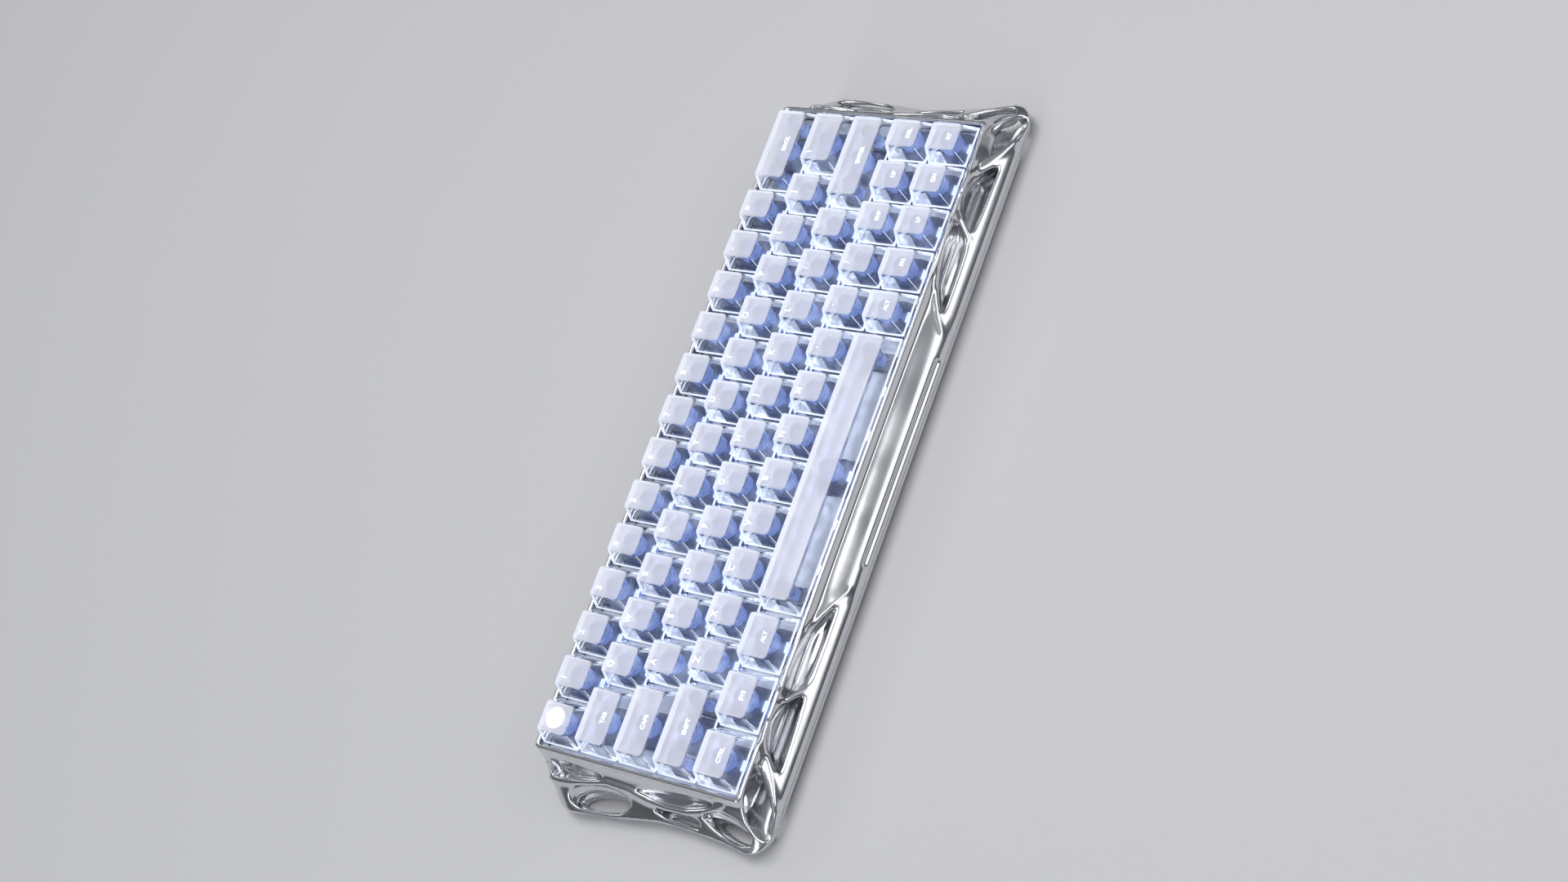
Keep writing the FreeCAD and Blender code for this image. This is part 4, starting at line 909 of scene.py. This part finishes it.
def cap_outline(half_x, half_y, side, front, rear, front_radius, rear_radius, steps=5):
    """Outline of a cap at one level, with larger corners at the front than at the rear."""
    x0, x1, y0, y1 = -half_x + side, half_x - side, -half_y + front, half_y - rear
    points = []
    for cx, cy, first, radius in ((x1, y1, 0, rear_radius), (x0, y1, 90, rear_radius),
                                  (x0, y0, 180, front_radius), (x1, y0, 270, front_radius)):
        mid_x = cx - radius if cx > 0 else cx + radius
        mid_y = cy - radius if cy == y1 else cy + radius
        for i in range(steps + 1):
            angle = math.radians(first + 90 * i / steps)
            points.append((mid_x + radius * math.cos(angle), mid_y + radius * math.sin(angle)))
    points.insert(2 * steps + 2, (x0, 0.5 * (y1 - rear_radius) + 0.5 * (y0 + front_radius)))
    return points


def add_cap(maker, key, stem_places):
    """One clear cap with thin walls, a frosted top and a round boss at each stem.

    Where a row stands behind it, a painted glow brightens the wall at the left of the cap's rear half, for
    the light of that row.
    """
    half_x = (key.width * KEY_PITCH - KEY_GAP) / 2.0
    half_y = (KEY_PITCH - KEY_GAP) / 2.0

    def level(part, inset, front, rear, height):
        side, fore, back = (draft * part + inset for draft in CAP_DRAFT)
        outline = cap_outline(half_x, half_y, side, fore, back, front, rear)
        return maker.deck_ring([(key.x + x, key.y + y) for x, y in outline], CAP_BASE + height)

    outer = [level(part, 0.0, front, rear, CAP_HEIGHT * part) for part, front, rear in CAP_LEVELS]
    for turn in (0.5, 1.0, math.pi / 2):
        part = 0.95 + 0.05 * math.sin(turn)
        outer.append(level(part, 0.3 * (1 - math.cos(turn)), 2.0, 0.8, CAP_HEIGHT * part))
    maker.skin(outer[:2], LIT_EDGE)
    maker.skin(outer[1:4], CLEAR)
    maker.skin(outer[3:], FROSTED)
    side, fore, back = TOP_INSET
    last = cap_outline(half_x, half_y, side, fore, back, *TOP_CORNERS)
    middle_y = (fore - back) / 2.0
    dish = []
    for part in DISH_PARTS:
        along_x = 1.0 - (1.0 - part) * min(1.0, 6.0 / (half_x - side))
        depth = DISH_DEPTH * (1 - part * part)
        dish.append(maker.deck_ring([(key.x + x * along_x, key.y + middle_y + (y - middle_y) * part)
                                     for x, y in last], CAP_BASE + CAP_HEIGHT - depth))
    maker.skin([outer[-1]] + dish, FROSTED, cap_last=True)
    ceiling = CAP_HEIGHT - CAP_ROOF
    inner = [level(height / CAP_HEIGHT, CAP_WALL + extra, radius, radius, height)
             for height, extra, radius in ((0.0, 0.0, 0.4), (ceiling - 1.0, 0.0, 0.9),
                                           (ceiling - 0.3, 0.25, 0.9), (ceiling, 0.8, 0.9))]
    maker.skin([outer[0], inner[0]], LIT_EDGE)
    sides = maker.skin(inner[:2], CLEAR)
    for corner in FRONT_CORNERS:
        sides[corner].material_index = LIT_EDGE
    # The rear left inner faces get the painted glow of the lit wall
    if key.row > 0:
        for face in sides[REAR_LEFT]:
            face.material_index = LIT_WALL
    maker.skin(inner[1:], CLEAR, cap_last=True)
    foot = SWITCH_TOP + 0.2
    for x in stem_places:
        boss = [maker.deck_ring(circle(key.x + x, key.y, BOSS_RADIUS), z)
                for z in (foot, CAP_BASE + ceiling + 0.1)]
        socket = [maker.deck_ring(circle(key.x + x, key.y, SOCKET_RADIUS), z)
                  for z in (foot, SWITCH_TOP + SOCKET_DEPTH)]
        maker.skin(boss, BOSS, cap_last=True)
        maker.skin([boss[0], socket[0]], BOSS)
        maker.skin(socket, BOSS, cap_last=True)


def add_slider(maker, x, y, half_x, half_y, radius, top_radius):
    """A slider with its bevelled top and the cross post that holds the cap."""
    top = SWITCH_TOP + 0.1
    maker.solid(maker.deck_levels(x, y, (
        (half_x, half_y, radius, top - 5.0), (half_x, half_y, radius, top - 0.3),
        (half_x - 0.2, half_y - 0.2, top_radius, top))))
    for arm_x, arm_y in POST_ARMS:
        maker.solid(maker.deck_levels(x, y, [(arm_x, arm_y, 0.2, z) for z in (top, top + POST_HEIGHT)]))
    return top


def add_stem(maker, x, y):
    """A switch's slider with its cross post, and the round guard that stands about them."""
    top = add_slider(maker, x, y, *STEM_SLIDER)
    guard = [maker.deck_ring(circle(x, y, radius, 28), top + z) for radius, z in GUARD_LEVELS]
    maker.skin(guard + [guard[0]])


def legend_mesh(text, size, mid_x, mid_y, top):
    """Flat letters, centred on a place of the deck plane."""
    curve = bpy.data.curves.new("letters", "FONT")
    curve.body = text
    curve.size = size
    curve.extrude = 0.02
    curve.offset = 0.06
    curve.resolution_u = 3
    curve.align_x = "CENTER"
    curve.align_y = "CENTER"
    letters = show("letters", curve)
    bpy.context.view_layer.update()
    mesh = bpy.data.meshes.new_from_object(letters)
    bpy.data.objects.remove(letters)
    bpy.data.curves.remove(curve)
    place = from_deck(mid_x, mid_y, top)
    mesh.transform(Matrix.Translation(place * MM) @ Matrix.Rotation(DECK_TILT, 4, "X")
                   @ Matrix.Scale(MM, 4))
    return mesh


def colour_property(name, description, default):
    return FloatVectorProperty(name=name, description=description, subtype="COLOR", default=default,
                               min=0.0, max=1.0)


def number_property(name, description, default, low, high, **more):
    return FloatProperty(name=name, description=description, default=default, min=low, max=high, **more)


class KeyboardLook(bpy.types.PropertyGroup):
    metal_colour: colour_property("Metal colour", "Colour of the case's polished metal", (0.74, 0.75, 0.78))
    metal_roughness: number_property(
        "Metal roughness", "How blurred the case's reflections are", 0.17, 0.02, 1.0, subtype="FACTOR")
    cap_colour: colour_property(
        "Cap colour", "Colour of the frosted tops of the keycaps", (0.86, 0.865, 0.925))
    # Strength of the painted glow of the frosted tops, an emission
    cap_glow: number_property("Cap glow", "Light that the frosted tops pass on", 0.15, 0.0, 2.0)
    # Strength of the painted glow of the caps' lit edges, an emission
    edge_glow: number_property("Edge glow", "Light that leaves the clear edges of the caps", 0.6, 0.0, 5.0)
    led_strength: number_property(
        "Light strength", "Strength of the lights under the keys", 14.0, 0.0, 60.0)


class CarvingDetail(bpy.types.PropertyGroup):
    case_step: number_property(
        "Case step", "Spacing of the carved case's mesh, in millimetres", 0.6, 0.3, 3.0)
    plate_step: number_property(
        "Plate step", "Spacing of the carved bottom plate's mesh, in millimetres", 0.8, 0.4, 3.0)
    letter_size: number_property(
        "Letter size", "Height of the letters on the caps, in millimetres", 3.6, 1.0, 6.0)


class StageLook(bpy.types.PropertyGroup):
    floor_colour: colour_property("Floor colour", "Colour of the plain floor", (0.7, 0.7, 0.72))
    lamp_power: number_property("Lamp power", "Power of the large soft lamp, in watts", 10.0, 0.0, 200.0)
    lens: number_property("Lens", "Focal length of the camera", 55.0, 10.0, 200.0, unit="CAMERA")
    floor_reach: IntProperty(
        name="Floor reach", description="Half the side of the floor, in metres", default=6, min=1, max=40)


class KEYBOARD_OT_case_frame(bpy.types.Operator):
    """Carves the polished case frame with its rim, bolster, pockets, ribbons and slots"""

    bl_idname = "keyboard.case_frame"
    bl_label = "Case frame"

    def execute(self, context):
        def near_frame(grid):
            deck_y, _ = deck_coordinates(grid[:, 1], grid[:, 2])
            return (np.abs(grid[:, 0]) > LEDGE_X - FRAME_MARGIN) | (np.abs(deck_y) > LEDGE_Y - FRAME_MARGIN)

        step = context.scene.keyboard_detail.case_step
        skin = carve(case_distance, CASE_LOW, CASE_HIGH, step, near_frame)
        link_piece("case_skin", mesh_from_arrays("case_skin", *skin), "case",
                   ["polished_metal"], "case_frame")
        return {"FINISHED"}


class KEYBOARD_OT_bottom_plate(bpy.types.Operator):
    """Carves the underside with its soft grooves, foot recesses and screw seats"""

    bl_idname = "keyboard.bottom_plate"
    bl_label = "Bottom plate"

    def execute(self, context):
        step = context.scene.keyboard_detail.plate_step
        skin = carve(plate_distance, PLATE_LOW, PLATE_HIGH, step)
        link_piece("bottom_skin", mesh_from_arrays("bottom_skin", *skin), "case",
                   ["brushed_metal"], "bottom_plate")
        return {"FINISHED"}


class KEYBOARD_OT_keycaps(bpy.types.Operator):
    """Makes the clear keycaps with frosted tops and their stems, one of each per key body"""

    bl_idname = "keyboard.keycaps"
    bl_label = "Keycaps and stems"

    def execute(self, context):
        groups = keys_by_node()
        if sum(len(found) for found in groups.values()) != len(keys()):
            raise RuntimeError("some keys belong to no node")
        for node, found in groups.items():
            caps, stems = Maker(), Maker()
            for key in found:
                spread = STAB_SPREAD.get(key.name)
                sides = [-spread, spread] if spread else []
                add_cap(caps, key, [0.0] + sides)
                add_stem(stems, key.x, key.y)
                for side in sides:
                    add_slider(stems, key.x + side, key.y, *SIDE_SLIDER)
            link_piece(node.replace("key", "cap", 1), caps.mesh("caps"), node,
                       ["clear_wall_painted_glow", "frosted_top", "clear_boss", "lit_edge", "lit_wall"], node)
            link_piece(node.replace("key", "stem", 1), stems.mesh("stems"), node,
                       ["guard_plastic_painted_glow"])
        return {"FINISHED"}


class KEYBOARD_OT_legends(bpy.types.Operator):
    """Puts plain letters and numbers on the caps, and a white disc on the first key"""

    bl_idname = "keyboard.legends"
    bl_label = "Legends"

    def execute(self, context):
        size = context.scene.keyboard_detail.letter_size
        top = CAP_BASE + CAP_HEIGHT - 0.12
        for node, found in keys_by_node().items():
            letters = bmesh.new()
            for key in found:
                if key.name == "escape":
                    disc = Maker()
                    disc.solid([disc.deck_ring(circle(key.x, key.y + 1.35, radius, 32), top + z)
                                for radius, z in DISC_LEVELS])
                    letters.from_mesh(disc.mesh("disc"))
                elif len(key.legend) > 1:
                    letters.from_mesh(legend_mesh(key.legend, 0.72 * size, key.x, key.y - 1.6, top))
                elif key.legend:
                    left = key.x - (key.width * KEY_PITCH - KEY_GAP) / 2.0
                    letters.from_mesh(legend_mesh(key.legend, size, left + 6.4, key.y + 4.6, top))
            if len(letters.faces):
                mesh = bpy.data.meshes.new("legend")
                letters.to_mesh(mesh)
                link_piece(node.replace("key", "legend", 1), mesh, node, ["legend_ink_painted_glow"])
            letters.free()
        return {"FINISHED"}


# Half sides, corner radius and height of a switch housing's levels and of the well in it, and the place,
# half sides, foot and top of the clips and ribs at each of its sides
HOUSING_LEVELS = (
    (6.95, 6.95, 0.6, -12.0), (6.95, 6.95, 0.6, PLATE_TOP), (7.6, 7.6, 1.2, PLATE_TOP),
    (7.6, 7.6, 1.2, -6.4), (6.9, 6.9, 1.0, -6.2), (6.5, 6.3, 1.2, -3.6), (5.75, 5.2, 1.0, -0.9),
    (5.55, 5.0, 0.9, SWITCH_TOP))
GUARD_WELL_RADIUS, GUARD_WELL_FLOOR = 4.35, -4.5
SLIDER_WELL = ((3.8, 3.0, 0.5, GUARD_WELL_FLOOR), (3.8, 3.0, 0.5, -9.8))
CLIPS = ((6.4, 0.0, 0.55, 1.5, -6.2, -3.4), (3.4, 5.6, 0.5, 0.5, -6.2, -1.9),
         (3.4, -5.6, 0.5, 0.5, -6.2, -1.9), (5.0, 0.0, 0.3, 3.4, -0.7, -0.4))
# How far before a switch's middle its light guide stands, and the small lights below the space bar
GUIDE_OFFSET, WINDOW_OFFSET = 5.65, 6.3
GUIDE_LEVELS = ((2.2, 0.7, 0.3, -6.0), (2.2, 0.7, 0.3, -2.5), (2.0, 0.5, 0.3, -2.3))
WINDOW_LEVELS = ((1.7, PLATE_TOP), (1.7, -5.6), (1.5, -5.4))


class KEYBOARD_OT_switches(bpy.types.Operator):
    """Makes the clipped switch housings and the light guides, and dresses the plate and the lights"""

    bl_idname = "keyboard.switches"
    bl_label = "Switches and lights"

    def execute(self, context):
        dress("switch_plate", "plate_metal")
        dress("backlight_leds", "led_light")
        housings, lights = Maker(), Maker()
        for key in keys():
            self.add_housing(housings, key.x, key.y)
            lights.solid(lights.deck_levels(key.x, key.y - GUIDE_OFFSET, GUIDE_LEVELS, 3))
            if key.name == "space":
                space = key
        for x in (-2 * KEY_PITCH, -KEY_PITCH, KEY_PITCH, 2 * KEY_PITCH):
            lights.solid(lights.deck_levels(space.x + x, space.y - WINDOW_OFFSET, [
                (half, 0.8 * half, 0.2, z) for half, z in WINDOW_LEVELS]), 1)
        link_piece("clipped_housings", housings.mesh("clipped_housings"), "case",
                   ["housing_plastic"], "switch_housings")
        link_piece("light_guides", lights.mesh("light_guides"), "case",
                   ["light_guide", "light_window"])
        return {"FINISHED"}

    def add_housing(self, maker, x, y):
        levels = maker.deck_levels(x, y, HOUSING_LEVELS, 3)
        levels += [maker.deck_ring(circle(x, y, GUARD_WELL_RADIUS, 16, math.pi / 32), z)
                   for z in (SWITCH_TOP, GUARD_WELL_FLOOR)]
        maker.solid(levels + maker.deck_levels(x, y, SLIDER_WELL, 3))
        for side in (-1, 1):
            for part_x, part_y, half_x, half_y, low, high in CLIPS:
                maker.solid(maker.deck_levels(x + side * part_x, y + part_y, (
                    (half_x, half_y, 0.15, low), (half_x, half_y, 0.15, high - 0.1),
                    (half_x * 0.8, half_y * 0.8, 0.15, high)), 1))


class Dressing:
    """Gives carried-over nodes their finishes, by name or by the start of it."""

    def execute(self, context):
        for start, finish in self.finishes:
            nodes = [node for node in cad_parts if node.startswith(start)]
            if not nodes:
                raise RuntimeError("no node is named " + start)
            for node in nodes:
                dress(node, finish)
        return {"FINISHED"}


class KEYBOARD_OT_stabilizers(Dressing, bpy.types.Operator):
    """Dresses the stabilizers' housings and their bent wires"""

    bl_idname = "keyboard.stabilizers"
    bl_label = "Stabilizers"
    finishes = (("stabilizer_housings", "stabilizer_plastic"), ("wire_", "wire_steel"))


# Radius and height of the levels of a screw's head and of the hexagon socket in it
SCREW_HEAD = ((1.2, 3.4), (2.15, 3.4), (2.2, 1.9), (2.05, 1.62), (1.75, 1.55), (1.5, 1.58))
SCREW_SOCKET = ((1.22, 1.75), (1.2, 3.0))
SCREW_SIDES = 36
# Half sides and corner radius of a foot
FOOT_HALF_X, FOOT_HALF_Y, FOOT_CORNER = 16.5, 3.0, 2.99


class KEYBOARD_OT_fixings(bpy.types.Operator):
    """Makes the socket screws of the underside and the ribbed rubber feet"""

    bl_idname = "keyboard.fixings"
    bl_label = "Screws and feet"

    def execute(self, context):
        screws, feet = Maker(), Maker()
        for x, y in SCREWS:
            head = [screws.floor_ring(circle(x, y, radius, SCREW_SIDES), z) for radius, z in SCREW_HEAD]
            socket = []
            for radius, z in SCREW_SOCKET:
                corners = np.array(circle(x, y, radius, 6))
                step = np.arange(SCREW_SIDES)
                side, along = step // 6, (step % 6 / 6)[:, None]
                hexagon = corners[side] * (1 - along) + corners[(side + 1) % 6] * along
                socket.append(screws.floor_ring(hexagon, z))
            screws.skin(head + socket[:1], cap_first=True)
            # The socket is painted near black, as shade in its recess
            screws.skin(socket, 1, cap_last=True)
        link_piece("socket_screws", screws.mesh("socket_screws"), "case",
                   ["screw_steel", "socket_painted_shade"], "case_screws")
        for x, y in FEET:
            rings = []
            for inset, z in FOOT_LEVELS:
                outline = rounded_rectangle(
                    x - FOOT_HALF_X + inset, x + FOOT_HALF_X - inset, y - FOOT_HALF_Y + inset,
                    y + FOOT_HALF_Y - inset, FOOT_CORNER - inset, 8)
                rings.append(feet.floor_ring(outline, z))
            feet.solid(rings)
        link_piece("strip_feet", feet.mesh("strip_feet"), "case", ["foot_rubber"],
                   "rubber_feet")
        return {"FINISHED"}


class KEYBOARD_OT_rear_fittings(Dressing, bpy.types.Operator):
    """Dresses the inlet, its board and the pill-shaped insert of the rear wall"""

    bl_idname = "keyboard.rear_fittings"
    bl_label = "Rear fittings"
    finishes = (("usb_socket", "screw_steel"), ("usb_board", "board"), ("rear_insert", "insert_plastic"),
                ("flat_cable", "cable_film"))


class KEYBOARD_OT_inner_stack(Dressing, bpy.types.Operator):
    """Dresses the board, foam and gaskets inside the case"""

    bl_idname = "keyboard.inner_stack"
    bl_label = "Inner stack"
    finishes = (("circuit_board", "board"), ("case_foam", "foam"), ("gasket_strips", "gasket"))


# Each lamp's name, place and size in metres, share of the lamp power, and colour
LAMPS = (
    ("soft_overhead", (0.2, -0.1, 1.5), (1.5, 0.55), 1.0, (1.0, 0.99, 0.98)),
    ("strip_left", (-1.4, 0.1, 0.8), (0.35, 1.4), 0.5, (0.94, 0.97, 1.0)),
    ("strip_rear", (0.5, 1.5, 1.1), (1.6, 0.25), 0.4, (1.0, 1.0, 1.0)),
    ("soft_front", (0.42, -1.07, 0.87), (1.4, 0.5), 0.3, (1.0, 1.0, 1.0)),
)
WORLD_FLOOR, WORLD_TOP = (0.05, 0.052, 0.058, 1.0), (0.34, 0.35, 0.37, 1.0)
CAMERA_PLACE = Vector((-0.255, -0.612, 0.7028))
CAMERA_TARGET = Vector((0.0, 0.0, 0.016))
CAMERA_UP = Vector((0.9026, 0.0984, 0.4190))


class KEYBOARD_OT_stage(bpy.types.Operator):
    """Sets the pale floor, the soft lamps and the camera"""

    bl_idname = "keyboard.stage"
    bl_label = "Stage"

    def execute(self, context):
        stage = context.scene.keyboard_stage
        self.floor(stage)
        self.world()
        self.lamps(stage)
        self.camera(stage)
        context.scene.view_settings.view_transform = "Standard"
        return {"FINISHED"}

    def floor(self, stage):
        maker = bmesh.new()
        bmesh.ops.create_grid(maker, x_segments=12, y_segments=12, size=float(stage.floor_reach))
        mesh = bpy.data.meshes.new("floor")
        maker.to_mesh(mesh)
        maker.free()
        colour = tuple(stage.floor_colour)
        paint = Finish("floor_paint", colour, 0.75)
        paint.mottle(paint.noise(3.0), tuple(0.98 * c for c in colour), colour)
        mesh.materials.append(paint.material)
        show("floor", mesh)

    def world(self):
        world = bpy.data.worlds.new("studio")
        bpy.context.scene.world = world
        world.use_nodes = True
        tree = world.node_tree
        place = tree.nodes.new("ShaderNodeTexCoord")
        parts = add_node(tree, "SeparateXYZ", Vector=place.outputs["Generated"])
        ramp = add_node(tree, "ValToRGB", Fac=parts.outputs["Z"])
        for stop, position, colour in zip(ramp.color_ramp.elements, (0.0, 0.95), (WORLD_FLOOR, WORLD_TOP)):
            stop.position, stop.color = position, colour
        fill(tree, tree.nodes["Background"], Color=ramp.outputs["Color"], Strength=1.0)

    def lamps(self, stage):
        for name, place, size, share, colour in LAMPS:
            lamp = bpy.data.lights.new(name, "AREA")
            lamp.shape = "RECTANGLE"
            lamp.size, lamp.size_y = size
            lamp.energy = stage.lamp_power * share
            lamp.color = colour
            holder = show(name, lamp)
            holder.location = place
            holder.rotation_euler = (-Vector(place)).to_track_quat("-Z", "Y").to_euler()

    def camera(self, stage):
        data = bpy.data.cameras.new("camera")
        data.sensor_width = 36.0
        data.lens = stage.lens
        camera = show("camera", data)
        ahead = (CAMERA_TARGET - CAMERA_PLACE).normalized()
        side = ahead.cross(CAMERA_UP).normalized()
        turn = Matrix((side, side.cross(ahead), -ahead)).transposed()
        camera.matrix_world = Matrix.Translation(CAMERA_PLACE) @ turn.to_4x4()
        bpy.context.scene.camera = camera


class KEYBOARD_PT_pieces(bpy.types.Panel):
    """Lists the keyboard's pieces and its stage"""

    bl_idname = "KEYBOARD_PT_pieces"
    bl_label = "Keyboard"
    bl_space_type = "VIEW_3D"
    bl_region_type = "UI"
    bl_category = "Keyboard"

    def draw(self, context):
        layout = self.layout
        scene = context.scene
        for group in (scene.keyboard_look, scene.keyboard_detail, scene.keyboard_stage):
            box = layout.box()
            for name in group.__annotations__:
                box.prop(group, name)
        for operator in OPERATORS:
            layout.operator(operator.bl_idname)


OPERATORS = (
    KEYBOARD_OT_case_frame, KEYBOARD_OT_bottom_plate, KEYBOARD_OT_keycaps, KEYBOARD_OT_legends,
    KEYBOARD_OT_switches, KEYBOARD_OT_stabilizers, KEYBOARD_OT_fixings, KEYBOARD_OT_rear_fittings,
    KEYBOARD_OT_inner_stack, KEYBOARD_OT_stage,
)
GROUPS = (KeyboardLook, CarvingDetail, StageLook)


def register():
    for group in GROUPS + OPERATORS + (KEYBOARD_PT_pieces,):
        bpy.utils.register_class(group)
    bpy.types.Scene.keyboard_look = PointerProperty(type=KeyboardLook)
    bpy.types.Scene.keyboard_detail = PointerProperty(type=CarvingDetail)
    bpy.types.Scene.keyboard_stage = PointerProperty(type=StageLook)


def unregister():
    del bpy.types.Scene.keyboard_stage
    del bpy.types.Scene.keyboard_detail
    del bpy.types.Scene.keyboard_look
    for group in reversed(GROUPS + OPERATORS + (KEYBOARD_PT_pieces,)):
        bpy.utils.unregister_class(group)


def main():
    register()
    for operator in OPERATORS:
        getattr(bpy.ops.keyboard, operator.bl_idname.partition(".")[2])()


if __name__ == "__main__":
    main()
